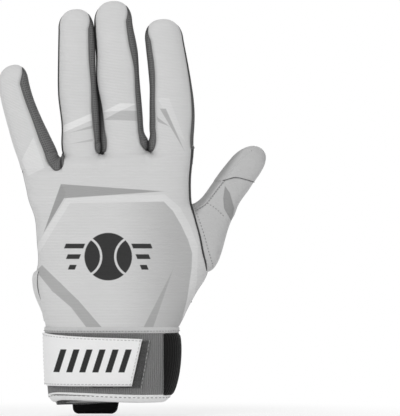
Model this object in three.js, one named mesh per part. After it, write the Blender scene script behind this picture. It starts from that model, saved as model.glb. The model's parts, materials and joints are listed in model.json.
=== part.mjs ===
// A catcher's inner glove for the left hand, worn under the mitt: a knit back, a leather palm with sewn
// pads, mesh gussets between the fingers, an elastic wristband with a wrap strap, and a pull tab.
// Fingers point along +Z, the back of the hand faces -Y, the palm +Y and the thumb lies towards +X.
// The origin is the middle of the cuff's mouth. Lengths are in millimetres and angles in degrees.
import * as THREE from "three";

// Driving dimensions of the whole glove
const wall = 1.6;
const gap = 0.3;
const handWidth = 96;
const handLength = 100;
const handDepth = 34;
const wristWidth = 75.5;
const mouthWidth = 66;
const wristDepth = 34;
const cuffHeight = 38.9;
const cuffShift = 2.2;
const hemHeight = 4.6;
const hemSwell = 0.6;
const bandHeight = 3.4;
const palmDrop = 3.4;
const handFootZ = cuffHeight + gap + bandHeight + gap;

// The finger stalls, from the little finger to the index. A root is the middle of the stall's foot, as
// shares of the hand's width and length. A lean is measured from +Z, negative towards the little finger.
const fingerLength = 85.8;
const fingerWidthShare = 0.23333;
const fingerWidth = handWidth * fingerWidthShare;
const fingerDepth = 18.8;
const fingerFold = 27.5;
const thumbLength = 34;
const thumbWidth = 20;
const thumbDepth = 18.4;
const wideMesh = { backAngle: 50, palmAngle: 22 };
const slimMesh = { backAngle: 22, palmAngle: 22 };
const fingers = [
  {
    name: "little",
    rootShares: [-0.3917, 0.911],
    leans: [-15.5, -8],
    lengthShare: 0.705,
    widthShares: [0.9375, 0.7366],
    depthShares: [0.957, 0.745],
    foldShare: 0.818,
    meshes: [null, wideMesh],
  },
  {
    name: "ring",
    rootShares: [-0.1573, 0.986],
    leans: [-2.4, -2.4],
    lengthShare: 0.9615,
    widthShares: [0.915, 0.875],
    depthShares: [0.979, 0.798],
    foldShare: 0.9455,
    meshes: [slimMesh, wideMesh],
  },
  {
    name: "middle",
    rootShares: [0.09375, 1.001],
    leans: [-4.2, -4.2],
    lengthShare: 1,
    widthShares: [1, 0.964],
    depthShares: [1, 0.819],
    foldShare: 1,
    meshes: [slimMesh, wideMesh],
  },
  {
    name: "index",
    rootShares: [0.3854, 1.006],
    leans: [-4.4, -4.4],
    lengthShare: 0.874,
    widthShares: [1.0446, 0.92],
    depthShares: [1, 0.819],
    foldShare: 0.8,
    meshes: [wideMesh, slimMesh],
  },
].map((share) => stallFrom(share, fingerLength, fingerWidth, fingerDepth, fingerFold));
const rootBend = 65;
const foldBend = 80;
const spareBend = 1.5;
const hingeDepth = 5;

// The thumb: its seam to the hand is a straight line between two points, each a pair of shares of the
// hand's width and length, and its stall starts at the thumb's fold
const seamTopShares = [0.499, 0.7];
const seamFootShares = [0.5896, 0.311];
const mouthReach = 9;
const thumbBend = 35;
const thumbHingeDepth = 4;
const thumbShares = {
  name: "thumb",
  rootShares: [0.6893, 0.745],
  leans: [34.9, 34.9],
  lengthShare: 1,
  widthShares: [1, 0.93],
  depthShares: [1, 0.87],
  foldShare: 0,
  meshes: [null, { backAngle: 40, palmAngle: 20 }],
};
const thumb = stallFrom(thumbShares, thumbLength, thumbWidth, thumbDepth, 0);
const seamTopX = handWidth * seamTopShares[0];
const seamTopZ = handFootZ + handLength * seamTopShares[1];
const seamFootX = handWidth * seamFootShares[0];
const seamFootZ = handFootZ + handLength * seamFootShares[1];
const thumbFoldBend = 45;
const thumbRootDepth = 22;

// The wrap strap, its hook and loop patches and the pull tab
const strapWall = 1.3;
const strapLift = 2.6;
const strapFootZ = 9.1;
const strapTopGap = 0.3;
const strapTopZ = cuffHeight - strapTopGap;
const strapEndDrop = 3.6;
const strapRootY = -1.2;
const strapFootX = 14;
const strapTopX = 20.2;
const patchWall = 0.9;
const loopStartX = -10;
const loopFootX = 20;
const loopTopX = 25.2;
const hookStartX = -8;
const hookInset = 3;
const patchFootZ = 8.6;
const patchDrop = 3.2;
const patchTopZ = strapTopZ - patchDrop;
const tabTopLeftX = -24.2;
const tabTopRightX = 13.1;
const tabFootLeftX = -20.2;
const tabFootRightX = 4.6;
const tabDrop = 4.7;
const tabTopZ = cuffHeight - tabDrop;
const tabFootZ = -7.4;
const tabWall = 1.6;
const tabRound = 3;
const gussetBackX = 32;
const gussetPalmX = 24;
const gussetStepAngle = 6;

// The sewn pads of the palm side
const padSeat = 0.45;
const padRim = 0.6;
const padCrown = 2.2;
const palmPadCrown = 3;
const palmPadPlaceShares = [0.0885, 0.711];
const palmPadSizeShares = [0.5208, 0.44];
const fingerPads = [
  { finger: "index", name: "index_upper_pad", alongShares: [0.36, 0.76], widthShare: 0.62 },
  { finger: "index", name: "index_lower_pad", alongShares: [0.0453, 0.2293], widthShare: 0.62 },
  { finger: "middle", name: "middle_lower_pad", alongShares: [0.0466, 0.2622], widthShare: 0.625 },
  { finger: "ring", name: "ring_lower_pad", alongShares: [0.0412, 0.2545], widthShare: 0.6634 },
];
const palmPad = {
  middleX: handWidth * palmPadPlaceShares[0],
  middleZ: handFootZ + handLength * palmPadPlaceShares[1],
  width: handWidth * palmPadSizeShares[0],
  height: handLength * palmPadSizeShares[1],
};
const webWall = 1.2;
const webHeight = 6;

// Shapes as shares of those sizes: a pair is a share of the hand's length and one of its width or depth
const leftEdgeShares = [
  [0.107, -0.4], [0.178, -0.431], [0.241, -0.444], [0.346, -0.417],
  [0.48, -0.418], [0.63, -0.435], [0.758, -0.475], [0.91, -0.5125], [1, -0.54],
];
const rightFootShares = [
  [0.095, 0.469], [0.153, 0.498], [0.212, 0.532], [0.264, 0.572],
];
const depthShares = [
  [0, 0.5], [0.3, 0.48], [0.6, 0.44], [0.82, 0.38], [1, 0.315],
];
const palmPadShares = [
  0.5, 0.51, 0.52, 0.51, 0.47, 0.46, 0.5, 0.56, 0.53, 0.49, 0.5, 0.54,
];
const stallPower = 2.4;
const handPower = 3;
const wristPower = 2.5;
const tipRoundShare = 0.5;
const tipFlatShare = 0.24;
const meshEndShare = 0.55;
const meshFadeShare = 0.3;
const cuffFlareShare = 0.4;
const thumbTaperShare = 0.8;
const strapClimbShare = 0.5;

const colours = {
  knit: 0xd4d4d4,
  leather: 0xdcdad6,
  mesh: 0x5a5a5a,
  band: 0x6e6e6e,
  elastic: 0x1e1e1e,
  binding: 0xececec,
  loop: 0x484848,
  tab: 0x111214,
};

const degrees = (angle) => (angle * Math.PI) / 180;
const mix = (a, b, share) => a + (b - a) * share;
const powered = (value, power) => Math.sign(value) * Math.abs(value) ** (2 / power);
const bulge = (share, power) => Math.max(0, 1 - Math.abs(share) ** power) ** (1 / power);

// A stall's real sizes from its shares
function stallFrom(share, length, width, depth, fold) {
  return {
    name: share.name,
    rootX: handWidth * share.rootShares[0],
    rootZ: handFootZ + handLength * share.rootShares[1],
    lean: share.leans[0],
    hingeLean: share.leans[1],
    length: length * share.lengthShare,
    rootWidth: width * share.widthShares[0],
    tipWidth: width * share.widthShares[1],
    rootDepth: depth * share.depthShares[0],
    tipDepth: depth * share.depthShares[1],
    fold: fold * share.foldShare,
    leftMesh: share.meshes[0],
    rightMesh: share.meshes[1],
  };
}

// The value of a table of pairs at a place, joined by straight lines
function read(table, place) {
  const last = table.length - 1;
  let i = 1;
  while (i < last && place > table[i][0]) i++;
  const [a, b] = [table[i - 1], table[i]];
  return mix(a[1], b[1], (place - a[0]) / (b[0] - a[0]));
}

const materials = new Map();
function material(name) {
  if (!materials.has(name)) {
    const made = new THREE.MeshStandardMaterial({ color: colours[name], roughness: 0.85, metalness: 0 });
    materials.set(name, made);
  }
  return materials.get(name).clone();
}

// A geometry from points and quads, turned so that its faces point outwards
function solid(points, quads) {
  const faces = [];
  for (const [a, b, c, d] of quads) {
    faces.push([a, b, c]);
    if (d !== undefined) faces.push([a, c, d]);
  }
  let volume = 0;
  for (const [a, b, c] of faces) volume += points[a].dot(points[b].clone().cross(points[c]));
  const turned = volume > 0 ? faces : faces.map(([a, b, c]) => [a, c, b]);
  const geometry = new THREE.BufferGeometry();
  geometry.setFromPoints(points);
  geometry.setIndex(turned.flat());
  geometry.computeVertexNormals();
  return geometry;
}

// A closed shell between an outer and an inner sheet, each a grid of points over u and v
function shell(columns, rows, outer, inner) {
  const across = columns + 1;
  const count = across * (rows + 1);
  const points = [];
  for (const sheet of [outer, inner]) {
    for (let j = 0; j <= rows; j++) {
      for (let i = 0; i <= columns; i++) points.push(sheet(i, j));
    }
  }
  const at = (i, j, layer) => layer * count + j * across + i;
  const quads = [];
  for (let j = 0; j < rows; j++) {
    for (let i = 0; i < columns; i++) {
      quads.push([at(i, j, 0), at(i + 1, j, 0), at(i + 1, j + 1, 0), at(i, j + 1, 0)]);
      quads.push([at(i, j, 1), at(i, j + 1, 1), at(i + 1, j + 1, 1), at(i + 1, j, 1)]);
    }
    quads.push([at(0, j, 0), at(0, j + 1, 0), at(0, j + 1, 1), at(0, j, 1)]);
    quads.push([at(columns, j, 0), at(columns, j, 1), at(columns, j + 1, 1), at(columns, j + 1, 0)]);
  }
  for (let i = 0; i < columns; i++) {
    quads.push([at(i, 0, 0), at(i, 0, 1), at(i + 1, 0, 1), at(i + 1, 0, 0)]);
    quads.push([at(i, rows, 0), at(i + 1, rows, 0), at(i + 1, rows, 1), at(i, rows, 1)]);
  }
  return solid(points, quads);
}

// A crowned pad: rings of points from its middle to its outline, above and below
function crownedPad(sectors, rings, surface, crown) {
  const points = [surface(0, 0, crown + padRim), surface(0, 0, 0)];
  for (const layer of [0, 1]) {
    for (let r = 1; r <= rings; r++) {
      const share = r / rings;
      const height = layer === 0 ? padRim + crown * (1 - share ** 2) : 0;
      for (let k = 0; k < sectors; k++) points.push(surface(share, (2 * Math.PI * k) / sectors, height));
    }
  }
  const at = (layer, r, k) => 2 + layer * rings * sectors + (r - 1) * sectors + (k % sectors);
  const quads = [];
  for (let k = 0; k < sectors; k++) {
    quads.push([0, at(0, 1, k), at(0, 1, k + 1)]);
    quads.push([1, at(1, 1, k + 1), at(1, 1, k)]);
    for (let r = 1; r < rings; r++) {
      quads.push([at(0, r, k), at(0, r + 1, k), at(0, r + 1, k + 1), at(0, r, k + 1)]);
      quads.push([at(1, r, k), at(1, r, k + 1), at(1, r + 1, k + 1), at(1, r + 1, k)]);
    }
    quads.push([at(0, rings, k), at(1, rings, k), at(1, rings, k + 1), at(0, rings, k + 1)]);
  }
  return solid(points, quads);
}

// The directions of a stall: along it, across it to the right, and the normal of its hinge planes
function frameOf(stall) {
  const lean = degrees(stall.lean);
  const hingeLean = degrees(stall.hingeLean);
  return {
    root: new THREE.Vector3(stall.rootX, 0, stall.rootZ),
    along: new THREE.Vector3(Math.sin(lean), 0, Math.cos(lean)),
    across: new THREE.Vector3(Math.cos(lean), 0, -Math.sin(lean)),
    hinge: new THREE.Vector3(Math.sin(hingeLean), 0, Math.cos(hingeLean)),
  };
}

// A place along the stall that lies on a hinge plane, drawn back by the gap and, on the palm side of the
// hinge, by a bevel that lets the stall bend
function cutPlace(stall, place, side, { bend, depth }, { offset, y }) {
  const { along, across, hinge } = frameOf(stall);
  const bevel = Math.max(0, y - depth) * Math.tan(degrees(bend / 2 + spareBend));
  const slope = -across.dot(hinge) / along.dot(hinge);
  return place + offset * slope + (side * (gap / 2 + bevel)) / along.dot(hinge);
}

// How far a side's mesh reaches round the stall at a place, fading out towards the tip
function meshAngle(stall, mesh, key, place) {
  if (!mesh) return 0;
  const end = stall.length - meshFadeShare * tipRoundShare * stall.tipWidth;
  const start = stall.length * meshEndShare;
  const share = Math.min(1, Math.max(0, (end - place) / (end - start)));
  return mesh[key] * Math.sin((share * Math.PI) / 2);
}

// One station of a stall: its place and how far its dome has turned in
function stationsOf(stall, from, to, steps, domeSteps) {
  const round = tipRoundShare * stall.tipWidth;
  const isEnd = to === stall.length;
  const straightEnd = isEnd ? stall.length - round : to;
  const stations = [];
  for (let i = 0; i <= steps; i++) stations.push({ place: mix(from, straightEnd, i / steps), turn: 0 });
  if (isEnd) {
    for (let i = 1; i <= domeSteps; i++) {
      const turn = (Math.PI / 2) * (i / domeSteps);
      stations.push({ place: straightEnd + round * Math.sin(turn), turn, closed: i === domeSteps });
    }
  }
  return stations;
}

// A point of the stall's wall, inset from its outer face
function stallPoint(stall, station, angle, inset, lift) {
  const share = station.place / stall.length;
  const halfWidth = mix(stall.rootWidth, stall.tipWidth, share) / 2 - inset;
  const halfDepth = mix(stall.rootDepth, stall.tipDepth, share) / 2 - inset;
  const narrow = Math.max(Math.cos(station.turn), tipFlatShare);
  const thin = station.closed ? 0 : Math.cos(station.turn);
  const offset = halfWidth * narrow * powered(Math.cos(angle), stallPower);
  const y = halfDepth * thin * powered(Math.sin(angle), stallPower) + lift;
  return { offset, y, place: station.place - inset * Math.sin(station.turn) };
}

function placed(stall, { offset, y, place }) {
  const { root, along, across } = frameOf(stall);
  const point = root.clone().addScaledVector(along, place).addScaledVector(across, offset);
  return point.setY(y);
}

// A panel of a stall between two angles, cut on its hinge planes
function stallPanel(stall, spec) {
  const { from, to, cuts, bounds, columns, steps, domeSteps, lift } = spec;
  const stations = stationsOf(stall, from, to, steps, domeSteps);
  const last = stations.length - 1;
  const sheet = (inset) => (i, j) => {
    const station = stations[j];
    const [low, high] = bounds(station.place);
    const point = stallPoint(stall, station, degrees(mix(low, high, i / columns)), inset, lift);
    const cut = j === 0 ? cuts.start : j === last && to !== stall.length ? cuts.end : null;
    if (cut) {
      const side = j === 0 ? 1 : -1;
      point.place = cutPlace(stall, station.place, side, cut, point);
    }
    return placed(stall, point);
  };
  return shell(columns, last, sheet(0), sheet(wall));
}

// The panels of one length of a stall: back, palm and a mesh gusset on each side that has one
function stallPanels(stall, part, from, to, cuts) {
  const isEnd = to === stall.length;
  const steps = isEnd ? 3 : 2;
  const { leftMesh, rightMesh } = stall;
  const meshGap = (2 * gap * 180) / (Math.PI * stall.rootDepth);
  const reach = (mesh, key) => (place) => meshAngle(stall, mesh, key, place);
  const [leftBack, leftPalm] = [reach(leftMesh, "backAngle"), reach(leftMesh, "palmAngle")];
  const [rightBack, rightPalm] = [reach(rightMesh, "backAngle"), reach(rightMesh, "palmAngle")];
  const common = { from, to, cuts, steps, domeSteps: 4 };
  const made = [
    {
      name: `${stall.name}_${part}_back`,
      kind: "knit",
      geometry: stallPanel(stall, {
        ...common,
        columns: 6,
        lift: -gap / 2,
        bounds: (place) => [180 + leftBack(place), 360 - rightBack(place)],
      }),
    },
    {
      name: `${stall.name}_${part}_palm`,
      kind: "leather",
      geometry: stallPanel(stall, {
        ...common,
        columns: 6,
        lift: gap / 2,
        bounds: (place) => [rightPalm(place), 180 - leftPalm(place)],
      }),
    },
  ];
  const meshEnd = stall.length - tipRoundShare * stall.tipWidth;
  const meshSpec = { ...common, to: isEnd ? meshEnd : to, columns: 3, lift: 0 };
  const sides = [
    { side: "left", mesh: leftMesh, middle: 180, back: leftBack, palm: leftPalm, turn: -1 },
    { side: "right", mesh: rightMesh, middle: 0, back: rightBack, palm: rightPalm, turn: 1 },
  ];
  for (const { side, mesh, middle, back, palm, turn } of sides) {
    if (!mesh) continue;
    made.push({
      name: `${stall.name}_${part}_mesh_${side}`,
      kind: "mesh",
      geometry: stallPanel(stall, {
        ...meshSpec,
        cuts: isEnd ? { start: cuts.start, end: null } : cuts,
        bounds: (place) => [
          middle - turn * (back(place) - meshGap),
          middle + turn * (palm(place) - meshGap),
        ],
      }),
    });
  }
  return made;
}

// The hand: its edges at a height, and the depth of its outer face there
const seamLeanX = (seamTopX - seamFootX) / (seamTopZ - seamFootZ);
const seamAt = (z) => seamFootX + (z - seamFootZ) * seamLeanX;
const heightShare = (z) => (z - handFootZ) / handLength;
const wristEdge = (side) => (cuffShift + (side * wristWidth) / 2) / handWidth;
const leftTable = [[0, wristEdge(-1)], ...leftEdgeShares];
const rightTable = [[0, wristEdge(1)], ...rightFootShares];
const leftEdge = (z) => handWidth * read(leftTable, heightShare(z));
const rootTopX = fingers[3].rootX + fingers[3].rootWidth / 2;

function rightEdge(z) {
  if (z >= seamTopZ) {
    return mix(seamTopX, rootTopX, (z - seamTopZ) / (fingers[3].rootZ - seamTopZ));
  }
  if (z >= seamFootZ) return seamAt(z);
  const [share, last] = [heightShare(z), rightTable[rightTable.length - 1]];
  if (share <= last[0]) return handWidth * read(rightTable, share);
  const footShare = heightShare(seamFootZ);
  return mix(handWidth * last[1], seamFootX, (share - last[0]) / (footShare - last[0]));
}

// Past the thumb's seam the hand's round goes on into the thumb, so its side is open there
function roundEdge(z) {
  const share = (z - seamFootZ) / (seamTopZ - seamFootZ);
  const reach = share > 0 && share < 1 ? mouthReach * Math.sin(share * Math.PI) : 0;
  return rightEdge(z) + reach;
}

function handDepthAt(x, z, inset) {
  const [left, right] = [leftEdge(z), roundEdge(z)];
  const half = (right - left) / 2 - inset;
  const depth = handDepth * read(depthShares, heightShare(z)) - inset;
  return depth * bulge((x - (left + right) / 2) / half, handPower);
}

// The hand's top edge follows the hinge planes of the four stalls
function rootPlaneZ(stall, x) {
  const hingeLean = degrees(stall.hingeLean);
  return stall.rootZ - (x - stall.rootX) * Math.tan(hingeLean);
}

function handColumns() {
  const columns = [];
  fingers.forEach((stall, i) => {
    const before = fingers[i - 1];
    const after = fingers[i + 1];
    const half = (stall.rootWidth / 2) * Math.cos(degrees(stall.lean));
    const low = before ? (stall.rootX - half + before.rootX + before.rootWidth / 2) / 2 + gap : null;
    const high = after ? (stall.rootX + half + after.rootX - after.rootWidth / 2) / 2 - gap : null;
    const start = low === null ? leftEdge(stall.rootZ) : low;
    const end = high === null ? rightEdge(stall.rootZ) : high;
    const steps = 4;
    for (let k = 0; k <= steps; k++) {
      const x = mix(start, end, k / steps);
      columns.push({ x, topZ: rootPlaneZ(stall, x) });
    }
  });
  return columns;
}

function handPanel(side, footZ, rows) {
  const columns = handColumns();
  const bendSlope = Math.tan(degrees(rootBend / 2 + spareBend));
  const seamSlope = Math.tan(degrees(thumbBend / 2 + spareBend));
  const sheet = (inset) => (i, j) => {
    const { x: topX, topZ } = columns[i];
    const share = (topX - leftEdge(topZ)) / (rightEdge(topZ) - leftEdge(topZ));
    const topY = handDepthAt(topX, topZ, inset);
    const bevel = side > 0 ? Math.max(0, topY - hingeDepth) * bendSlope : 0;
    const z = mix(footZ, topZ - gap / 2 - bevel, j / rows);
    const left = leftEdge(z) + inset;
    let right = rightEdge(z) - inset;
    if (z > seamFootZ && z < seamTopZ) {
      const edgeY = handDepthAt(seamAt(z), z, inset);
      const seamBevel = side > 0 ? Math.max(0, edgeY - thumbHingeDepth) * seamSlope : 0;
      right = Math.min(seamAt(z) - gap / 2 - seamBevel, roundEdge(z) - inset);
    }
    const x = mix(left, right, Math.min(1, Math.max(0, share)));
    const y = side * (handDepthAt(x, z, inset) + gap / 2);
    return new THREE.Vector3(x, y, z);
  };
  return shell(columns.length - 1, rows, sheet(0), sheet(wall));
}

// A short wall across the hand's top between two stalls, where their gussets turn over
function crotchWeb(left, right) {
  const x = (left.rootX + left.rootWidth / 2 + right.rootX - right.rootWidth / 2) / 2;
  const topZ = Math.min(rootPlaneZ(left, x), rootPlaneZ(right, x)) - gap;
  const footZ = topZ - webHeight;
  const reach = handDepthAt(x, topZ, wall) - gap;
  const slope = Math.tan(degrees(rootBend / 2 + spareBend));
  const shape = new THREE.Shape();
  shape.moveTo(-reach, footZ);
  shape.lineTo(reach, footZ);
  shape.lineTo(reach, topZ - Math.max(0, reach - hingeDepth) * slope);
  shape.lineTo(hingeDepth, topZ);
  shape.lineTo(-reach, topZ);
  shape.closePath();
  const geometry = new THREE.ExtrudeGeometry(shape, { depth: webWall, bevelEnabled: false });
  const turn = new THREE.Matrix4().makeBasis(
    new THREE.Vector3(0, 1, 0),
    new THREE.Vector3(0, 0, 1),
    new THREE.Vector3(1, 0, 0),
  );
  return geometry.applyMatrix4(turn).translate(x - webWall / 2, 0, 0);
}

// The thumb's base: sections that turn from the hand's seam to the thumb's fold
function thumbBase(side) {
  const seam = new THREE.Vector3(seamFootX - seamTopX, 0, seamFootZ - seamTopZ);
  const seamHalf = seam.length() / 2;
  const down = seam.clone().normalize();
  const outward = new THREE.Vector3(-down.z, 0, down.x);
  const seamMiddle = new THREE.Vector3((seamFootX + seamTopX) / 2, 0, (seamFootZ + seamTopZ) / 2);
  const { root, along, across } = frameOf(thumb);
  const rows = 4;
  const columns = 8;
  const seamSlope = Math.tan(degrees(thumbBend / 2 + spareBend));
  const foldSlope = Math.tan(degrees(thumbFoldBend / 2 + spareBend));
  const sheet = (inset) => (i, j) => {
    const share = j / rows;
    const angle = degrees(side < 0 ? mix(180, 360, i / columns) : mix(0, 180, i / columns));
    const halfWidth = mix(seamHalf, thumb.rootWidth / 2, share ** thumbTaperShare) - inset;
    const halfDepth = mix(thumbRootDepth, thumb.rootDepth, share) / 2 - inset;
    const cross = down.clone().lerp(across, share).normalize();
    const point = seamMiddle.clone().lerp(root, share);
    const y = halfDepth * powered(Math.sin(angle), stallPower) + (side * gap) / 2;
    point.addScaledVector(cross, halfWidth * powered(Math.cos(angle), stallPower)).setY(y);
    const depth = Math.max(0, y - thumbHingeDepth);
    if (j === 0) point.addScaledVector(outward, gap / 2 + depth * seamSlope);
    if (j === rows) point.addScaledVector(along, -gap / 2 - depth * foldSlope);
    return point;
  };
  return shell(columns, rows, sheet(0), sheet(wall));
}

// The cuff: a tube that narrows to its mouth, most of it close to the hem
const cuffShare = (z) => Math.max(0, z / cuffHeight) ** cuffFlareShare;
const cuffHalf = (z) => mix(mouthWidth, wristWidth, cuffShare(z)) / 2;
const cuffMiddle = (z) => cuffShift * cuffShare(z);

function cuffPoint(angle, z, offset) {
  const x = (cuffHalf(z) + offset) * powered(Math.cos(angle), wristPower) + cuffMiddle(z);
  const y = (wristDepth / 2 + offset) * powered(Math.sin(angle), wristPower);
  return new THREE.Vector3(x, y, z);
}

// The angle round the cuff's back or palm face where it crosses a place x
function cuffAngle(x, z, side) {
  const share = (x - cuffMiddle(z)) / cuffHalf(z);
  const turn = Math.acos(powered(share, 4 / wristPower));
  return side * turn;
}

// A panel of the cuff between two angles, each a function of height
function cuffPanel({ low, high, footZ, topZ, columns, rows, outer, inner }) {
  const sheet = (offset) => (i, j) => {
    const share = i / columns;
    const foot = mix(low(footZ), high(footZ), share);
    const z = mix(footZ, topZ(foot, share), j / rows);
    return cuffPoint(mix(low(z), high(z), share), z, offset(share));
  };
  return shell(columns, rows, sheet(outer), sheet(inner));
}

const edgeGap = gap / wristDepth;
const palmTopZ = cuffHeight - palmDrop;
const bandFootZ = hemHeight + gap;
const gussetBack = (z) => cuffAngle(gussetBackX, z, -1);
const gussetPalm = (z) => cuffAngle(gussetPalmX, z, 1);
const plain = { outer: () => 0, inner: () => -wall, rows: 3, footZ: bandFootZ };

function wristPanels() {
  return [
    {
      name: "wrist_back",
      kind: "band",
      geometry: cuffPanel({
        ...plain,
        columns: 14,
        low: () => -Math.PI + edgeGap,
        high: (z) => gussetBack(z) - edgeGap,
        topZ: () => cuffHeight,
      }),
    },
    {
      name: "wrist_palm",
      kind: "band",
      geometry: cuffPanel({
        ...plain,
        columns: 14,
        low: (z) => gussetPalm(z) + edgeGap,
        high: () => Math.PI - edgeGap,
        topZ: () => palmTopZ,
      }),
    },
    {
      name: "wrist_gusset",
      kind: "elastic",
      geometry: cuffPanel({
        ...plain,
        columns: 9,
        low: (z) => gussetBack(z) + edgeGap,
        high: (z) => gussetPalm(z) - edgeGap,
        topZ: (angle) => (angle < -degrees(gussetStepAngle) ? cuffHeight : palmTopZ),
      }),
    },
  ];
}

// The white bands: the hem round the mouth and the two bands that close the hand's lower edge
function cuffHem() {
  const steps = 44;
  const points = [];
  const inner = -wall - hemSwell;
  const corners = [[0, hemSwell], [hemHeight, hemSwell], [hemHeight, inner], [0, inner]];
  for (const [z, offset] of corners) {
    for (let k = 0; k < steps; k++) points.push(cuffPoint((2 * Math.PI * k) / steps, z, offset));
  }
  const quads = [];
  for (let ring = 0; ring < 4; ring++) {
    for (let k = 0; k < steps; k++) {
      const [next, other] = [(k + 1) % steps, ((ring + 1) % 4) * steps];
      quads.push([ring * steps + k, ring * steps + next, other + next, other + k]);
    }
  }
  return solid(points, quads);
}

function handBand(side) {
  const footZ = (side < 0 ? cuffHeight : palmTopZ) + gap;
  return cuffPanel({
    outer: () => hemSwell,
    inner: () => -wall,
    columns: 20,
    rows: 1,
    footZ,
    low: () => (side < 0 ? -Math.PI + edgeGap : edgeGap),
    high: () => (side < 0 ? -edgeGap : Math.PI - edgeGap),
    topZ: () => footZ + bandHeight,
  });
}

// The strap lies on the cuff at its root and climbs over the patches towards its free end
const strapRoot = (z) => -Math.PI - Math.asin(powered((2 * strapRootY) / wristDepth, 4 / wristPower));
const strapEndX = (z) => mix(strapFootX, strapTopX, (z - strapFootZ) / (strapTopZ - strapFootZ));
const loopEndX = (z) => mix(loopFootX, loopTopX, (z - strapFootZ) / (strapTopZ - strapFootZ));

function wristFittings() {
  const climb = (share) => gap + strapLift * Math.min(1, share / strapClimbShare);
  return [
    {
      name: "strap",
      kind: "binding",
      geometry: cuffPanel({
        columns: 16,
        rows: 3,
        footZ: strapFootZ,
        topZ: (angle, share) => strapTopZ - strapEndDrop * share,
        low: strapRoot,
        high: (z) => cuffAngle(strapEndX(z), z, -1),
        outer: (share) => climb(share) + strapWall,
        inner: climb,
      }),
    },
    {
      name: "hook_patch",
      kind: "elastic",
      geometry: cuffPanel({
        columns: 6,
        rows: 2,
        footZ: strapFootZ + hookInset,
        topZ: () => strapTopZ - strapEndDrop - hookInset,
        low: (z) => cuffAngle(hookStartX, z, -1),
        high: (z) => cuffAngle(strapEndX(z) - hookInset, z, -1),
        outer: () => strapLift,
        inner: () => strapLift - patchWall,
      }),
    },
    {
      name: "loop_patch",
      kind: "loop",
      geometry: cuffPanel({
        columns: 8,
        rows: 2,
        footZ: patchFootZ,
        topZ: () => patchTopZ,
        low: (z) => cuffAngle(loopStartX, z, -1),
        high: (z) => cuffAngle(loopEndX(z), z, -1),
        outer: () => gap + patchWall,
        inner: () => gap,
      }),
    },
  ];
}

// The pull tab: a tapered tongue that hangs from the palm band past the mouth
function pullTab() {
  const shape = new THREE.Shape();
  shape.moveTo(tabTopLeftX, tabTopZ);
  shape.lineTo(tabFootLeftX, tabFootZ + tabRound);
  shape.quadraticCurveTo(tabFootLeftX, tabFootZ, tabFootLeftX + tabRound, tabFootZ);
  shape.lineTo(tabFootRightX - tabRound, tabFootZ);
  shape.quadraticCurveTo(tabFootRightX, tabFootZ, tabFootRightX, tabFootZ + tabRound);
  shape.lineTo(tabTopRightX, tabTopZ);
  shape.closePath();
  const settings = { depth: tabWall, bevelEnabled: false, curveSegments: 4 };
  const geometry = new THREE.ExtrudeGeometry(shape, settings);
  return geometry.rotateX(Math.PI / 2).translate(0, wristDepth / 2 + hemSwell + gap + tabWall, 0);
}

// The pads: one on the palm and one on each padded length of a finger
function palmPadGeometry() {
  const count = palmPadShares.length;
  const surface = (share, turn, height) => {
    const place = (turn / (2 * Math.PI)) * count;
    const reach = palmPadShares[Math.round(place) % count] * share;
    const x = palmPad.middleX + palmPad.width * reach * Math.cos(turn);
    const z = palmPad.middleZ + palmPad.height * reach * Math.sin(turn);
    return new THREE.Vector3(x, handDepthAt(x, z, 0) + padSeat + height, z);
  };
  return crownedPad(count, 3, surface, palmPadCrown);
}

function fingerPadGeometry(pad) {
  const stall = fingers.find((one) => one.name === pad.finger);
  const [low, high] = pad.alongShares.map((share) => share * stall.length);
  const width = stall.rootWidth * pad.widthShare;
  const surface = (share, turn, height) => {
    const place = (low + high) / 2 + ((high - low) / 2) * share * powered(Math.sin(turn), 3);
    const offset = (width / 2) * share * powered(Math.cos(turn), 3);
    const halfWidth = mix(stall.rootWidth, stall.tipWidth, place / stall.length) / 2;
    const halfDepth = mix(stall.rootDepth, stall.tipDepth, place / stall.length) / 2;
    const y = halfDepth * bulge(offset / halfWidth, stallPower) + padSeat + height;
    return placed(stall, { offset, y, place });
  };
  return crownedPad(16, 3, surface, padCrown);
}

const glove = new THREE.Group();

function add({ name, kind, geometry }) {
  const mesh = new THREE.Mesh(geometry, material(kind));
  mesh.name = name;
  glove.add(mesh);
}

for (const stall of fingers) {
  const rootCut = { bend: rootBend, depth: hingeDepth };
  const foldCut = { bend: foldBend, depth: hingeDepth };
  stallPanels(stall, "base", 0, stall.fold, { start: rootCut, end: foldCut }).forEach(add);
  stallPanels(stall, "end", stall.fold, stall.length, { start: foldCut, end: null }).forEach(add);
}
const thumbCut = { bend: thumbFoldBend, depth: thumbHingeDepth };
stallPanels(thumb, "end", 0, thumb.length, { start: thumbCut, end: null }).forEach(add);
add({ name: "thumb_base_back", kind: "knit", geometry: thumbBase(-1) });
add({ name: "thumb_base_palm", kind: "leather", geometry: thumbBase(1) });
add({ name: "hand_back", kind: "knit", geometry: handPanel(-1, handFootZ, 10) });
add({ name: "hand_palm", kind: "leather", geometry: handPanel(1, handFootZ - palmDrop, 10) });
for (let i = 1; i < fingers.length; i++) {
  const [left, right] = [fingers[i - 1], fingers[i]];
  add({ name: `web_${left.name}_${right.name}`, kind: "mesh", geometry: crotchWeb(left, right) });
}
add({ name: "palm_pad", kind: "leather", geometry: palmPadGeometry() });
for (const pad of fingerPads) add({ name: pad.name, kind: "leather", geometry: fingerPadGeometry(pad) });
wristPanels().forEach(add);
add({ name: "cuff_hem", kind: "binding", geometry: cuffHem() });
add({ name: "back_band", kind: "binding", geometry: handBand(-1) });
add({ name: "palm_band", kind: "binding", geometry: handBand(1) });
wristFittings().forEach(add);
add({ name: "pull_tab", kind: "tab", geometry: pullTab() });

export default glove;
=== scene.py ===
import json
import math

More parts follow.
